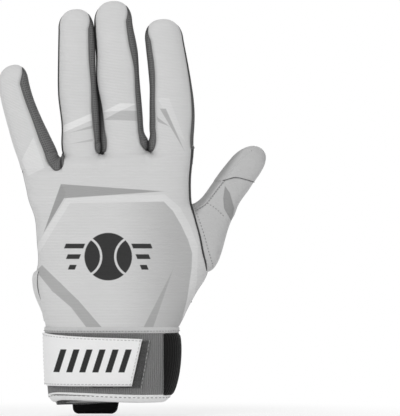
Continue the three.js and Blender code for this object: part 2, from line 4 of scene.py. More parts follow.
import bpy
import numpy as np
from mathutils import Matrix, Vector


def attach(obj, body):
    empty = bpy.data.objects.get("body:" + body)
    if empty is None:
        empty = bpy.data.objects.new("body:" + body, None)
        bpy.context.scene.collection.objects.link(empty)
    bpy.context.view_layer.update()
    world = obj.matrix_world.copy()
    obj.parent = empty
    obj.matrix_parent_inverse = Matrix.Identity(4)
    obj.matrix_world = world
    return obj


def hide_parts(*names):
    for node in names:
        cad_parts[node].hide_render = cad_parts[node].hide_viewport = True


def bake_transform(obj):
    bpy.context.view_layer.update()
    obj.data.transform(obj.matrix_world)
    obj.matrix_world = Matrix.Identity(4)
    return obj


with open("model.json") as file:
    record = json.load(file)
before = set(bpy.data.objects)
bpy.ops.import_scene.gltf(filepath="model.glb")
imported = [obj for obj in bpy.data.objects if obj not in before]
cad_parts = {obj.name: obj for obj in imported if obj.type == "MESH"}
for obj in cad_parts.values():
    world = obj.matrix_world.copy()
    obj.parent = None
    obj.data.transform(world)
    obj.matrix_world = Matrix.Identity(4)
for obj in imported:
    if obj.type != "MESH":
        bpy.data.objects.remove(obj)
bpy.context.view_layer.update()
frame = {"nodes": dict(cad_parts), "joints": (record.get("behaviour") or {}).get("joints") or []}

# A catcher's inner glove: knit back, leather palm with sewn pads, mesh gussets, elastic wristband, wrap
# strap and pull tab. Sizes are in millimetres and become metres when a mesh is made.
mm = 0.001
joints = {joint["name"]: joint for joint in frame["joints"]}

photo = {
    "width": 400,
    "height": 416,
    "pixel": 0.57,       # real size of one pixel at the glove
    "originAcross": 108,  # the pixel that the middle of the cuff's mouth is at
    "originDown": 402,
    "palmAcross": 308,    # the same for the view of the palm
}


# Points of the back view, or of the mirrored palm view, pixels to x and z.
def fromPhoto(pairs, palm=False):
    pairs = np.array(pairs, float)
    across = photo["palmAcross"] - pairs[:, 0] if palm else pairs[:, 0] - photo["originAcross"]
    return np.stack([across, photo["originDown"] - pairs[:, 1]], 1) * photo["pixel"]


def mix(a, b, share):
    return a + (b - a) * share


# 0 below low, 1 above high, and an S curve between them.
def smooth(low, high, value):
    t = np.clip((value - low) / (high - low), 0, 1)
    return t * t * (3 - 2 * t)


# A sine or cosine pushed outwards, so that a circle becomes a superellipse.
def rounded(value, power):
    return np.sign(value) * np.abs(value) ** (2 / power)


# The height of a superellipse over a place from -1 to 1.
def bulge(share, power):
    return np.maximum(0, 1 - np.abs(share) ** power) ** (1 / power)


# A smooth line through a table of pairs: cubic pieces whose slopes are those of the neighbours' chord.
def curve(table, at):
    table = np.array(table, float)
    places, values = table[:, 0], table[:, 1]
    slopes = np.gradient(values, places)
    at = np.clip(at, places[0], places[-1])
    i = np.clip(np.searchsorted(places, at) - 1, 0, len(places) - 2)
    span = places[i + 1] - places[i]
    t = (at - places[i]) / span
    start = (1 + 2 * t) * (1 - t) ** 2 * values[i] + t * (1 - t) ** 2 * span * slopes[i]
    return start + t * t * (3 - 2 * t) * values[i + 1] + t * t * (t - 1) * span * slopes[i + 1]


def unit(vectors):
    return vectors / np.maximum(np.linalg.norm(vectors, axis=-1, keepdims=True), 1e-9)


# The length run at each point from the first one, down the rows of a path or a grid.
def runLength(path):
    steps = np.linalg.norm(np.diff(path, axis=0), axis=-1)
    return np.concatenate([np.zeros_like(steps[:1]), np.cumsum(steps, 0)])


# Numbers of a grid's points, with the first row or column again at the end where it closes.
def numbered(rows, columns, closeRows=False, closeColumns=False):
    number = np.arange(rows * columns).reshape(rows, columns)
    if closeRows:
        number = np.concatenate([number, number[:1]], 0)
    return np.concatenate([number, number[:, :1]], 1) if closeColumns else number


# The four corners of every cell of a grid.
def quads(number):
    return np.stack([number[:-1, :-1], number[:-1, 1:], number[1:, 1:], number[1:, :-1]], -1).reshape(-1, 4)


# The faces that join two rows of points, a to b.
def strip(a, b):
    return np.stack([a[:-1], b[:-1], b[1:], a[1:]], -1)


# Meshes

# A mesh object from points in millimetres and lists of faces.
def makePiece(name, points, faces, finish, attributes=None, sharp=None):
    mesh = bpy.data.meshes.new(name)
    mesh.from_pydata((points * mm).tolist(), [], faces)
    for key, values in (attributes or {}).items():
        kind = "FLOAT_VECTOR" if values.ndim == 2 else "FLOAT"
        field = "vector" if values.ndim == 2 else "value"
        mesh.attributes.new(key, kind, "POINT").data.foreach_set(field, values.astype(np.float32).ravel())
    mesh.polygons.foreach_set("use_smooth", np.ones(len(mesh.polygons), bool))
    if sharp is not None:
        ends = np.zeros(len(mesh.edges) * 2, np.int64)
        mesh.edges.foreach_get("vertices", ends)
        ends = ends.reshape(-1, 2)
        creased = (sharp[ends[:, 0]] > 0) & (sharp[ends[:, 0]] == sharp[ends[:, 1]])
        mesh.attributes.new("sharp_edge", "BOOLEAN", "EDGE").data.foreach_set("value", creased)
    mesh.materials.append(finish)
    mesh.update()
    piece = bpy.data.objects.new(name, mesh)
    bpy.context.scene.collection.objects.link(piece)
    return piece


# Unit normals of a grid of points: the cross product of its two slopes, turned away from its core.
def normalsOf(grid, core):
    normals = np.cross(np.gradient(grid, axis=1), np.gradient(grid, axis=0))
    outwards = np.sum(normals * (grid - core)) > 0
    return unit(normals if outwards else -normals), outwards


# A closed thin sheet: the grid is its outer face, and its inner face lies the wall inwards along the
# normals. Its weave attribute is the place across, along, and from the nearest side edge; level leaves
# the height out of the place across.
def shell(name, grid, wall, finish, core=None, along=None, level=False):
    rows, columns = grid.shape[:2]
    normals, outwards = normalsOf(grid, grid * [1, 0, 1] if core is None else core)
    inner = grid - normals * wall
    count = rows * columns
    points = np.concatenate([grid.reshape(-1, 3), inner.reshape(-1, 3)])
    number = numbered(rows, columns)
    outer = quads(number)
    sides = [number[0], number[-1, ::-1], number[::-1, 0], number[:, -1]]
    faces = np.concatenate([outer, outer[:, ::-1] + count, *(strip(side, side + count) for side in sides)])
    if not outwards:
        faces = faces[:, ::-1]
    across = runLength(np.swapaxes(grid, 0, 1)[..., :2 if level else 3]).T
    edge = np.minimum(across, across[:, -1:] - across)
    along = runLength(grid) if along is None else along
    weave = np.stack([across - across[:, -1:] / 2, along, edge], -1).reshape(-1, 3)
    border = np.ones((rows, columns), int)
    border[1:-1, 1:-1] = 0
    return makePiece(
        name, points, faces.tolist(), finish,
        attributes={
            "restPlace": np.tile(grid.reshape(-1, 3), (2, 1)),
            "weave": np.tile(weave, (2, 1)),
            "face": np.repeat([[1.0, 0, 0], [0, 0, 0]], count, 0),   # 1 on the outer side, 0 on the inner
        },
        sharp=np.concatenate([border.ravel(), border.ravel() * 2]),
    )


farEdge = 9.0    # the distance to an edge that the weave attribute gives where no edge is sewn


# A rolled edge: an oval carried along a path, with its width across the up direction.
def roll(name, path, radius, up, finish, sides=10, flat=1.0):
    tangent = unit(np.gradient(path, axis=0))
    side = unit(np.cross(tangent, up))
    up = np.cross(side, tangent)
    turn = np.linspace(0, 2 * np.pi, sides, endpoint=False)
    radius = np.broadcast_to(radius, len(path))[:, None, None]
    ring = side[:, None] * np.cos(turn)[None, :, None] + up[:, None] * np.sin(turn)[None, :, None] * flat
    points = (path[:, None] + ring * radius).reshape(-1, 3)
    number = numbered(len(path), sides, closeColumns=True)
    faces = quads(number).tolist() + [number[0, :-1][::-1].tolist(), number[-1, :-1].tolist()]
    weave = np.stack(np.broadcast_arrays(turn * 2, runLength(path)[:, None], farEdge), -1).reshape(-1, 3)
    return makePiece(name, points, faces, finish, {"restPlace": points, "weave": weave})


# Points at equal distances along a path, one pitch apart.
def spaced(path, pitch):
    lengths = runLength(path)
    count = max(2, int(round(lengths[-1] / pitch)) + 1)
    at = np.linspace(0, lengths[-1], count)
    return np.stack([np.interp(at, lengths, path[:, k]) for k in range(path.shape[1])], 1)


spindle = {"places": [-0.5, -0.38, 0, 0.38, 0.5], "girths": [0.35, 0.85, 1.0, 0.85, 0.35], "sides": 6}


# A row of sewn stitches: small spindles laid along a path, a stitch and a gap apart.
def stitches(name, path, up, finish, length=1.5, gap=1.1, thick=0.28):
    both = spaced(np.concatenate([path, np.broadcast_to(up, path.shape)], 1), length + gap)
    spots, up = both[:, :3], unit(both[:, 3:])
    tangent = unit(np.gradient(spots, axis=0))
    side = unit(np.cross(tangent, up))
    rings, count = len(spindle["places"]), spindle["sides"]
    turn = np.linspace(0, 2 * np.pi, count, endpoint=False)
    girth = [np.outer(spindle["girths"], part).ravel() * thick for part in (np.cos(turn), np.sin(turn))]
    outline = np.stack([np.repeat(spindle["places"], count) * length, *girth], 1)
    points = spots[:, None] + np.einsum("ka,nab->nkb", outline, np.stack([tangent, side, up], 1))
    points = points.reshape(-1, 3)
    number = numbered(rings, count, closeColumns=True)
    shift = (np.arange(len(spots)) * rings * count)[:, None, None]
    sides = (quads(number)[None, :, ::-1] + shift).reshape(-1, 4).tolist()
    caps = np.stack([number[0, :-1], number[-1, :-1][::-1]])
    ends = (caps[None] + shift).reshape(-1, count).tolist()
    weave = np.stack([points[:, 0], points[:, 2], np.full(len(points), farEdge)], 1)
    return makePiece(name, points, sides + ends, finish, {"restPlace": points, "weave": weave})


# Attaches a piece to its body's empty, or only bakes the transform of one that bends between two bodies;
# hides the parts it replaces.
def follow(piece, slot, bodies, nodes=(), zone=None):
    if zone is None:
        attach(piece, bodies)
    else:
        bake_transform(piece)
    if nodes:
        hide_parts(*nodes)
    return piece


# Materials

# A colour from its 0 to 255 level on screen.
def grey(level, tint=(0, 0, 0)):
    shares = [(level + part) / 255 for part in tint]
    linear = [part / 12.92 if part < 0.04045 else ((part + 0.055) / 1.055) ** 2.4 for part in shares]
    return (*linear, 1)


# A socket with arithmetic: an expression on wires adds the Math nodes that work it out.
class Wire:

    def __init__(self, finish, socket):
        self.finish, self.socket = finish, socket

    def math(self, operation, *others):
        made = self.finish.node("ShaderNodeMath", {"operation": operation}, dict(enumerate((self, *others))))
        return made[0]

    def __add__(self, other):
        return self.math("ADD", other)

    def __radd__(self, other):
        return self.math("ADD", other)

    def __sub__(self, other):
        return self.math("SUBTRACT", other)

    def __rsub__(self, other):
        return self.finish.number(other).math("SUBTRACT", self)

    def __mul__(self, other):
        return self.math("MULTIPLY", other)

    def __rmul__(self, other):
        return self.math("MULTIPLY", other)

    def __truediv__(self, other):
        return self.math("DIVIDE", other)

    def least(self, other):
        return self.math("MINIMUM", other)

    def most(self, other):
        return self.math("MAXIMUM", other)

    # An S curve from 0 at low to 1 at high.
    def step(self, low, high):
        settings = {"interpolation_type": "SMOOTHSTEP"}
        return self.finish.node("ShaderNodeMapRange", settings, {0: self, 1: low, 2: high})[0]

    # A sine from -1 to 1 with this pitch.
    def wave(self, pitch):
        return (self * (2 * math.pi / pitch)).math("SINE")


# A material under construction.
class Finish:

    def __init__(self, name, roughness, **fixed):
        self.material = bpy.data.materials.new(name)
        self.material.use_nodes = True
        self.tree = self.material.node_tree
        self.shader = self.tree.nodes["Principled BSDF"]
        self.shader.inputs["Roughness"].default_value = roughness
        for socket, value in fixed.items():
            self.shader.inputs[socket.replace("_", " ")].default_value = value
        self.rest = self.vector("restPlace")
        self.weave = self.vector("weave")

    # Any node: its settings first, then its sockets' values or links; gives its outputs as wires.
    def node(self, kind, settings=None, sockets=None):
        made = self.tree.nodes.new(kind)
        for key, value in (settings or {}).items():
            setattr(made, key, value)
        for key, value in (sockets or {}).items():
            if isinstance(value, Wire):
                self.tree.links.new(value.socket, made.inputs[key])
            else:
                made.inputs[key].default_value = value
        return [Wire(self, output) for output in made.outputs]

    def number(self, value):
        made = self.tree.nodes.new("ShaderNodeValue")
        made.outputs[0].default_value = value
        return Wire(self, made.outputs[0])

    def vector(self, attribute):
        return self.node("ShaderNodeAttribute", {"attribute_name": attribute})[1]

    def parts(self, vector):
        return self.node("ShaderNodeSeparateXYZ", None, {0: vector})

    # Noise from 0 to 1 whose blots are about this many millimetres.
    def noise(self, place, size, detail=2.0, roughness=0.5):
        sockets = {"Vector": place, "Scale": 1 / size, "Detail": detail, "Roughness": roughness}
        return self.node("ShaderNodeTexNoise", None, sockets)[0]

    def cells(self, place, size):
        return self.node("ShaderNodeTexVoronoi", None, {"Vector": place, "Scale": 1 / size})[0]

    # Colour a, or b where the share is 1.
    def blend(self, share, a, b):
        return self.node("ShaderNodeMix", {"data_type": "RGBA"}, {0: share, 6: a, 7: b})[2]

    # One colour as a wire, from its level on screen.
    def plain(self, level, tint=(0, 0, 0)):
        return self.blend(0, grey(level, tint), grey(level, tint))

    # A place stretched by three numbers.
    def stretched(self, place, shares):
        return self.node("ShaderNodeVectorMath", {"operation": "MULTIPLY"}, {0: place, 1: shares})[0]

    # A colour made lighter or darker by a wire round 1.
    def shade(self, colour, amount):
        return self.node("ShaderNodeVectorMath", {"operation": "SCALE"}, {0: colour, 3: amount})[0]

    # Painted shade towards a sewn edge, where the surface turns away from the light: the root of the
    # distance to it, up to a reach.
    def paintedEdgeShade(self, edge, reach, rise, least):
        return ((edge / reach).least(1.0).math("SQRT") * rise + least).least(1.0)

    # 1 inside a convex outline of x and z corners: the least distance to its sides, softened.
    def inside(self, corners, soft=0.25):
        corners = np.array(corners, float)
        following = np.roll(corners, -1, 0)
        span = following - corners
        normals = np.stack([-span[:, 1], span[:, 0]], 1) / np.linalg.norm(span, axis=1)[:, None]
        if np.sum(normals * (corners.mean(0) - corners)) < 0:
            normals = -normals
        least = None
        for (nx, nz), corner in zip(normals, corners):
            settings = {"operation": "DOT_PRODUCT"}
            dot = self.node("ShaderNodeVectorMath", settings, {0: self.rest, 1: (nx, 0, nz)})[1]
            distance = dot - float(nx * corner[0] + nz * corner[1])
            least = distance if least is None else least.least(distance)
        return least.step(-soft, soft)

    # Relief of this many millimetres for a height from 0 to 1.
    def bump(self, height, distance):
        sockets = {"Height": height, "Distance": distance * mm}
        self.paint("Normal", self.node("ShaderNodeBump", None, sockets)[0])

    def paint(self, socket, wire):
        self.tree.links.new(wire.socket, self.shader.inputs[socket])


# The levels of the finishes on screen, from 0 to 255
tones = {
    "knit": 217,
    "hexagonPaintedShadeRight": 188,
    "leather": 212,
    "thumbLeather": 192,
    "thumbPaintedShade": 158,
    "mesh": 114,
    "meshHole": 52,
    "meshEdge": 96,
    "meshPaintedShade": 14,
    "hemBack": 208,
    "bandBack": 142,
    "bandPalm": 160,
    "binding": 250,
    "elastic": 16,
    "loop": 74,
    "hook": 40,
    "tab": 10,
    "stitch": 168,
    "darkSeam": 62,
    "print": 46,
}

# Prints on the back of the hand, and painted highlights and painted shade on the knuckles, each laid over
# those before it: its level, and its corners in pixels of the photograph
prints = {
    "hexagonEdge": (226, [(68, 196.5), (165, 194.5), (180, 207), (190, 225), (198, 246), (197, 280),
                          (186, 350), (58, 350), (30, 262), (36, 247)]),
    "hexagon": (217, [(70, 203), (164, 201.6), (173, 211), (181, 224.5), (188, 239.5), (192.2, 253),
                      (191.6, 268), (187.5, 297), (176, 345), (46, 345), (30, 290), (30, 268),
                      (41.7, 249.3)]),
    "cornerTop": (168, [(61.5, 184.2), (164, 191.4), (64.6, 198.3)]),
    "cornerSide": (162, [(61.5, 184.2), (66.2, 192), (64.6, 198.3), (44.2, 232.5)]),
    "leftBandTop": (178, [(42.5, 265), (62, 283.5), (54, 292), (36, 270.5)]),
    "leftBandMiddle": (178, [(60, 281.6), (79.5, 300.5), (71.5, 306.5), (52, 290)]),
    "leftBandFoot": (178, [(78.2, 299), (103.8, 328.4), (88, 328), (70.3, 304.9)]),
    "rightBand": (174, [(173.3, 268.8), (153.6, 326.3), (141.7, 331)]),
    # Painted highlights on the knuckles at the stalls' roots, and painted shade in the bands below them
    "ringPaintedHighlight": (237, [(63, 126), (93, 113), (93, 120), (63, 133)]),
    "ringPaintedShade": (192, [(70, 133), (93, 125.5), (93, 128.5)]),
    "ringPaintedShadeLow": (196, [(71, 144), (93, 139), (93, 141.5)]),
    "middlePaintedHighlight": (235, [(103, 112), (120, 103.5), (136, 104), (136, 110), (121, 111), (103, 119)]),
    "middlePaintedShade": (192, [(104, 120), (121, 111), (137, 111), (137, 121)]),
    "indexPaintedHighlight": (223, [(157, 98), (169, 98), (186, 143), (176, 131)]),
    "indexPaintedShade": (182, [(160, 109), (166, 109), (184, 150)]),
    "indexPaintedShadeLow": (186, [(157, 117), (170, 127), (158, 122)]),
    "littlePaintedHighlight": (227, [(22, 160), (34, 137), (45, 168), (28, 176)]),
}


def knit():
    # Fine ribs across the stall, yarn noise, and the tonal prints of the back, with painted highlights and
    # painted shade on the knuckles, painted shade over the right side of the back and towards the edges
    finish = Finish("ribbedKnit", 0.86, Sheen_Weight=0.12, Sheen_Roughness=0.5)
    across, along, edge = finish.parts(finish.weave)
    x, y, z = finish.parts(finish.rest)
    rib = along.wave(0.86)
    yarn = finish.noise(finish.stretched(finish.weave, (2.4, 1.0, 0)), 0.45, 2)
    cloud = finish.noise(finish.rest, 17, 2)
    tone = finish.plain(tones["knit"])
    backOnly = y.step(1.0, -1.0)
    for key, (level, corners) in prints.items():
        mask = finish.inside(fromPhoto(corners)) * backOnly
        colour = grey(level)
        # The hexagon darkens towards the right: painted shade where the light falls off
        if key == "hexagon":
            colour = finish.blend(x.step(0.0, 42.0), colour, grey(tones["hexagonPaintedShadeRight"]))
        tone = finish.blend(mask, tone, colour)
    mark = emblemMask(finish, x, z) * backOnly
    tone = finish.blend(mark, tone, grey(tones["print"]))
    streak = finish.noise(finish.stretched(finish.weave, (0.05, 1.0, 0)), 1.7, 2)
    amount = 0.92 + rib * 0.026 + yarn * 0.05 + cloud * 0.05 + streak * 0.05
    # Painted shade over the right side of the back
    amount = amount - x.step(26, 52) * backOnly * 0.06
    finish.paint("Base Color", finish.shade(tone, amount * finish.paintedEdgeShade(edge, 2.6, 0.36, 0.66)))
    finish.bump(rib * 0.3 + yarn * 0.5 + cloud * 1.5, 0.16)
    return finish.material


emblem = {
    "centre": (0.4, 83.0),   # x and z of the ball's middle
    "radius": 13.5,
    "rim": 1.5,
    "seamReach": 15.5,       # how far each seam's own circle stands from the middle
    "seamRadius": 11.5,
    "seamWidth": 1.3,
    "barStart": 16.0,
    "barEnds": (27.0, 23.5, 20.0),
    "barPitch": 6.0,
    "barWidth": 2.7,
}


def emblemMask(finish, x, z):
    # A plain ball: a disc with two seam arcs left out of it, and three level bars on either side
    e = emblem
    across, up = x - e["centre"][0], z - e["centre"][1]
    reach = (across * across + up * up).math("SQRT")
    disc = reach.step(e["radius"] + 0.25, e["radius"] - 0.25)
    side = across.math("ABSOLUTE") - e["seamReach"]
    arc = ((side * side + up * up).math("SQRT") - e["seamRadius"]).math("ABSOLUTE")
    mask = disc * arc.step(e["seamWidth"] / 2 - 0.2, e["seamWidth"] / 2 + 0.2)
    for row, end in zip((1, 0, -1), e["barEnds"]):
        level = (up - row * e["barPitch"]).math("ABSOLUTE")
        thick = level.step(e["barWidth"] / 2 + 0.2, e["barWidth"] / 2 - 0.2)
        lean = across.math("ABSOLUTE") + up * 0.4
        start = lean.step(e["barStart"] - 0.25, e["barStart"] + 0.25)
        mask = mask.most(thick * start * lean.step(end + 0.25, end - 0.25))
    return mask


def leather(name, level, creases=1.0, prints=None):
    # Pores from cells, fine grain, soft creases that run across, and painted shade that darkens it towards
    # the sewn edges
    finish = Finish(name, 0.58, Coat_Roughness=0.4)
    across, along, edge = finish.parts(finish.weave)
    x, y, z = finish.parts(finish.rest)
    pores = finish.cells(finish.rest, 0.9)
    grain = finish.noise(finish.rest, 0.5, 3)
    stretched = finish.stretched(finish.rest, (0.35, 1, 1))
    crease = finish.noise(stretched, 5.5, 3, 0.6)
    cloud = finish.noise(finish.rest, 24, 2)
    folds = finish.noise(stretched, 15, 2, 0.4)
    tone = finish.plain(level)
    if prints:
        tone = prints(finish, tone, x, y, z)
    amount = 0.9 + grain * 0.05 + cloud * 0.06 + pores * 0.02 + folds * 0.07
    finish.paint("Base Color", finish.shade(tone, amount * finish.paintedEdgeShade(edge, 2.2, 0.4, 0.64)))
    finish.paint("Roughness", 0.5 + grain * 0.16)
    finish.bump(pores * 0.2 + grain * 0.3 + crease * 4.5 * creases + folds * 7.0 * creases, 0.3)
    return finish.material


thumbMarks = {
    "lens": [(225, 186.5), (229.5, 193), (233.9, 208), (232, 221.8), (224.2, 208.5), (223.4, 198)],
    "strip": [(255.5, 184), (257, 190), (243, 203), (241.5, 200.5)],
}


def thumbPrints(finish, tone, x, y, z):
    # The vent of the thumb's back: a grey lens with a dark rim, the mesh strip on its outer side, and
    # painted shade beyond the seam
    back = y.step(-1.2, -2.6)
    spot, axis = (joints["thumb_fold_bend"][key] for key in ("pos_m", "axis"))
    # Painted shade on the strip between the seam and the thumb's upper outline
    across = (x - spot[0] / mm) * -axis[0] + (z - spot[2] / mm) * -axis[2]
    shade = across.step(-5.0, -9.0) * across.step(-14, -11) * back
    tone = finish.blend(shade, tone, grey(tones["thumbPaintedShade"]))
    rim = finish.inside(fromPhoto(thumbMarks["lens"]), 0.5) * back
    core = rim.step(0.75, 0.98)
    tone = finish.blend(rim, tone, grey(120))
    tone = finish.blend(core, tone, grey(152))
    strip = finish.inside(fromPhoto(thumbMarks["strip"]), 0.4) * back
    return finish.blend(strip, tone, grey(92))


def mesh():
    # Open mesh: rows of small holes, grey tape along its seams, and near black painted shade deep between
    # two stalls
    finish = Finish("gussetMesh", 0.7, Sheen_Weight=0.1)
    across, along, edge = finish.parts(finish.weave)
    x, y, z = finish.parts(finish.rest)
    hole = (across.wave(1.1) * 0.5 + 0.5) * (along.wave(1.3) * 0.5 + 0.5)
    gaps = hole.step(0.35, 0.7)
    yarn = finish.noise(finish.rest, 0.4, 2)
    tone = finish.blend(gaps, grey(tones["mesh"]), grey(tones["meshHole"]))
    tone = finish.blend(edge.step(1.3, 0.8) * 0.8, tone, grey(tones["meshEdge"]))
    # Near black painted shade towards the palm side, deep in the crevice between two stalls
    tone = finish.blend(y.step(-5.2, -1.8) * 0.9, tone, grey(tones["meshPaintedShade"]))
    finish.paint("Base Color", finish.shade(tone, 0.85 + yarn * 0.3))
    finish.bump(yarn * 0.4 - gaps * 1.2, 0.3)
    return finish.material


def ribbed(name, level, pitch=1.25, depth=0.35):
    # Elastic: ribs along the wrist crossed by fine rows of knit
    finish = Finish(name, 0.85, Sheen_Weight=0.05, Specular_IOR_Level=0.25)
    across, along, edge = finish.parts(finish.weave)
    rib = across.wave(pitch)
    row = along.wave(0.8)
    yarn = finish.noise(finish.rest, 0.4, 2)
    cloud = finish.noise(finish.rest, 12, 2)
    amount = 0.82 + rib * 0.1 + row * 0.04 + yarn * 0.14 + cloud * 0.12
    finish.paint("Base Color", finish.shade(finish.plain(level), amount))
    finish.bump(rib * 0.8 + row * 0.25 + yarn * 0.4, depth)
    return finish.material


def cloth(name, level, weave=0.7, prints=None, shine=0.5):
    # Close woven tape: warp and weft, a little soiling
    finish = Finish(name, 0.75, Specular_IOR_Level=shine)
    across, along, edge = finish.parts(finish.weave)
    x, y, z = finish.parts(finish.rest)
    warp, weft = across.wave(weave), along.wave(weave)
    yarn = finish.noise(finish.rest, 0.5, 2)
    cloud = finish.noise(finish.rest, 9, 3)
    tone = finish.plain(level)
    if prints:
        tone = prints(finish, tone, x, y, z)
    amount = 0.93 + warp * weft * 0.03 + yarn * 0.06 + cloud * 0.05
    finish.paint("Base Color", finish.shade(tone, amount))
    finish.bump(warp * weft * 0.4 + yarn * 0.4 + cloud * 0.5, 0.14)
    return finish.material


def pile(name, level, size):
    # Loops or hooks: close knots, darker between them
    finish = Finish(name, 0.95, Sheen_Weight=0.3)
    knots = finish.cells(finish.rest, size)
    fuzz = finish.noise(finish.rest, 0.35, 4, 0.7)
    amount = 1.25 - knots * 0.6 + fuzz * 0.25
    border = finish.parts(finish.weave)[2].step(1.7, 1.2)
    finish.paint("Base Color", finish.shade(finish.blend(border, grey(level), grey(level + 34)), amount))
    finish.bump(fuzz * 0.8 - knots * 1.2, 0.5)
    return finish.material


def thread(name, level):
    finish = Finish(name, 0.6)
    twist = finish.noise(finish.rest, 0.3, 1)
    finish.paint("Base Color", finish.shade(finish.plain(level), 0.85 + twist * 0.3))
    return finish.material


strapBars = {"start": -31.0, "pitch": 7.4, "count": 6, "width": 3.7, "low": 17.5, "high": 30.5, "lean": 0.32}


def strapPrints(finish, tone, x, y, z):
    # Six slanted bars, each a strip between two leaning lines
    bars = strapBars
    band = z.step(bars["low"] - 0.2, bars["low"] + 0.2) * z.step(bars["high"] + 0.2, bars["high"] - 0.2)
    place = (x - z * bars["lean"] - bars["start"] + bars["low"] * bars["lean"]) / bars["pitch"]
    part = place.math("FRACT")
    share = bars["width"] / bars["pitch"]
    bar = part.step(share + 0.03, share - 0.03) * part.step(0.0, 0.05)
    run = place.step(0.0, 0.02) * place.step(bars["count"] + 0.02, bars["count"])
    outer = finish.parts(finish.vector("face"))[0]
    return finish.blend(bar * band * run * outer, tone, grey(tones["print"] - 12))


tabMark = {"centre": (-5.6, 12.0), "rise": 4.2, "reach": 6.0, "width": 1.5, "pitch": 4.6, "count": 2}


def tabPrints(finish, tone, x, y, z):
    # Two stacked chevrons in bright green
    t = tabMark
    across, up = (x - t["centre"][0]).math("ABSOLUTE"), z - t["centre"][1]
    inside = across.step(t["reach"] + 0.2, t["reach"] - 0.2)
    outer = finish.parts(finish.vector("face"))[0]
    for row in range(t["count"]):
        line = up - row * t["pitch"] - across * (t["rise"] / t["reach"])
        level = (line.math("ABSOLUTE")).step(t["width"] / 2 + 0.2, t["width"] / 2 - 0.2)
        tone = finish.blend(level * inside * outer, tone, grey(140, (-10, 84, -34)))
    return tone


finishes = {
    "knit": knit(),
    "leather": leather("softLeather", tones["leather"]),
    "thumb": leather("thumbLeather", tones["thumbLeather"], 0.8, thumbPrints),
    "pad": leather("padLeather", tones["leather"] - 5, 0.55),
    "mesh": mesh(),
    "bandBack": ribbed("wristKnitBack", tones["bandBack"]),
    "bandPalm": ribbed("wristKnitPalm", tones["bandPalm"]),
    "elastic": ribbed("blackElastic", tones["elastic"], 1.6, 0.3),
    "binding": cloth("whiteBinding", tones["binding"]),
    "hemBack": cloth("hemOfTheBack", tones["hemBack"]),
    "strap": cloth("strapTape", tones["binding"], prints=strapPrints),
    "loop": pile("loopPile", tones["loop"], 0.9),
    "hook": pile("hookPile", tones["hook"], 1.1),
    "tab": cloth("tabWebbing", tones["tab"], 0.9, tabPrints, 0.2),
    "darkRoll": cloth("darkSeamTape", tones["darkSeam"], 0.6),
    # Grey seam tape, also used as a painted shadow line under the thumb cap's edge
    "greySeamAndPaintedShadowRoll": cloth("greySeamTapeAndPaintedShadow", 118, 0.6),
    "paleRoll": cloth("paleSeamTape", tones["knit"] - 14, 0.6),
    "foldedPrint": cloth("foldedPrint", 176),
    "dot": thread("dottedThread", 124),
    "stitch": thread("greyThread", tones["stitch"]),
    "paleThread": thread("paleThread", tones["knit"] - 22),
}
print("finishes made:", len(finishes))


# The stalls: widths, sideways bow and seams along each, as pairs of a place from the root and a value

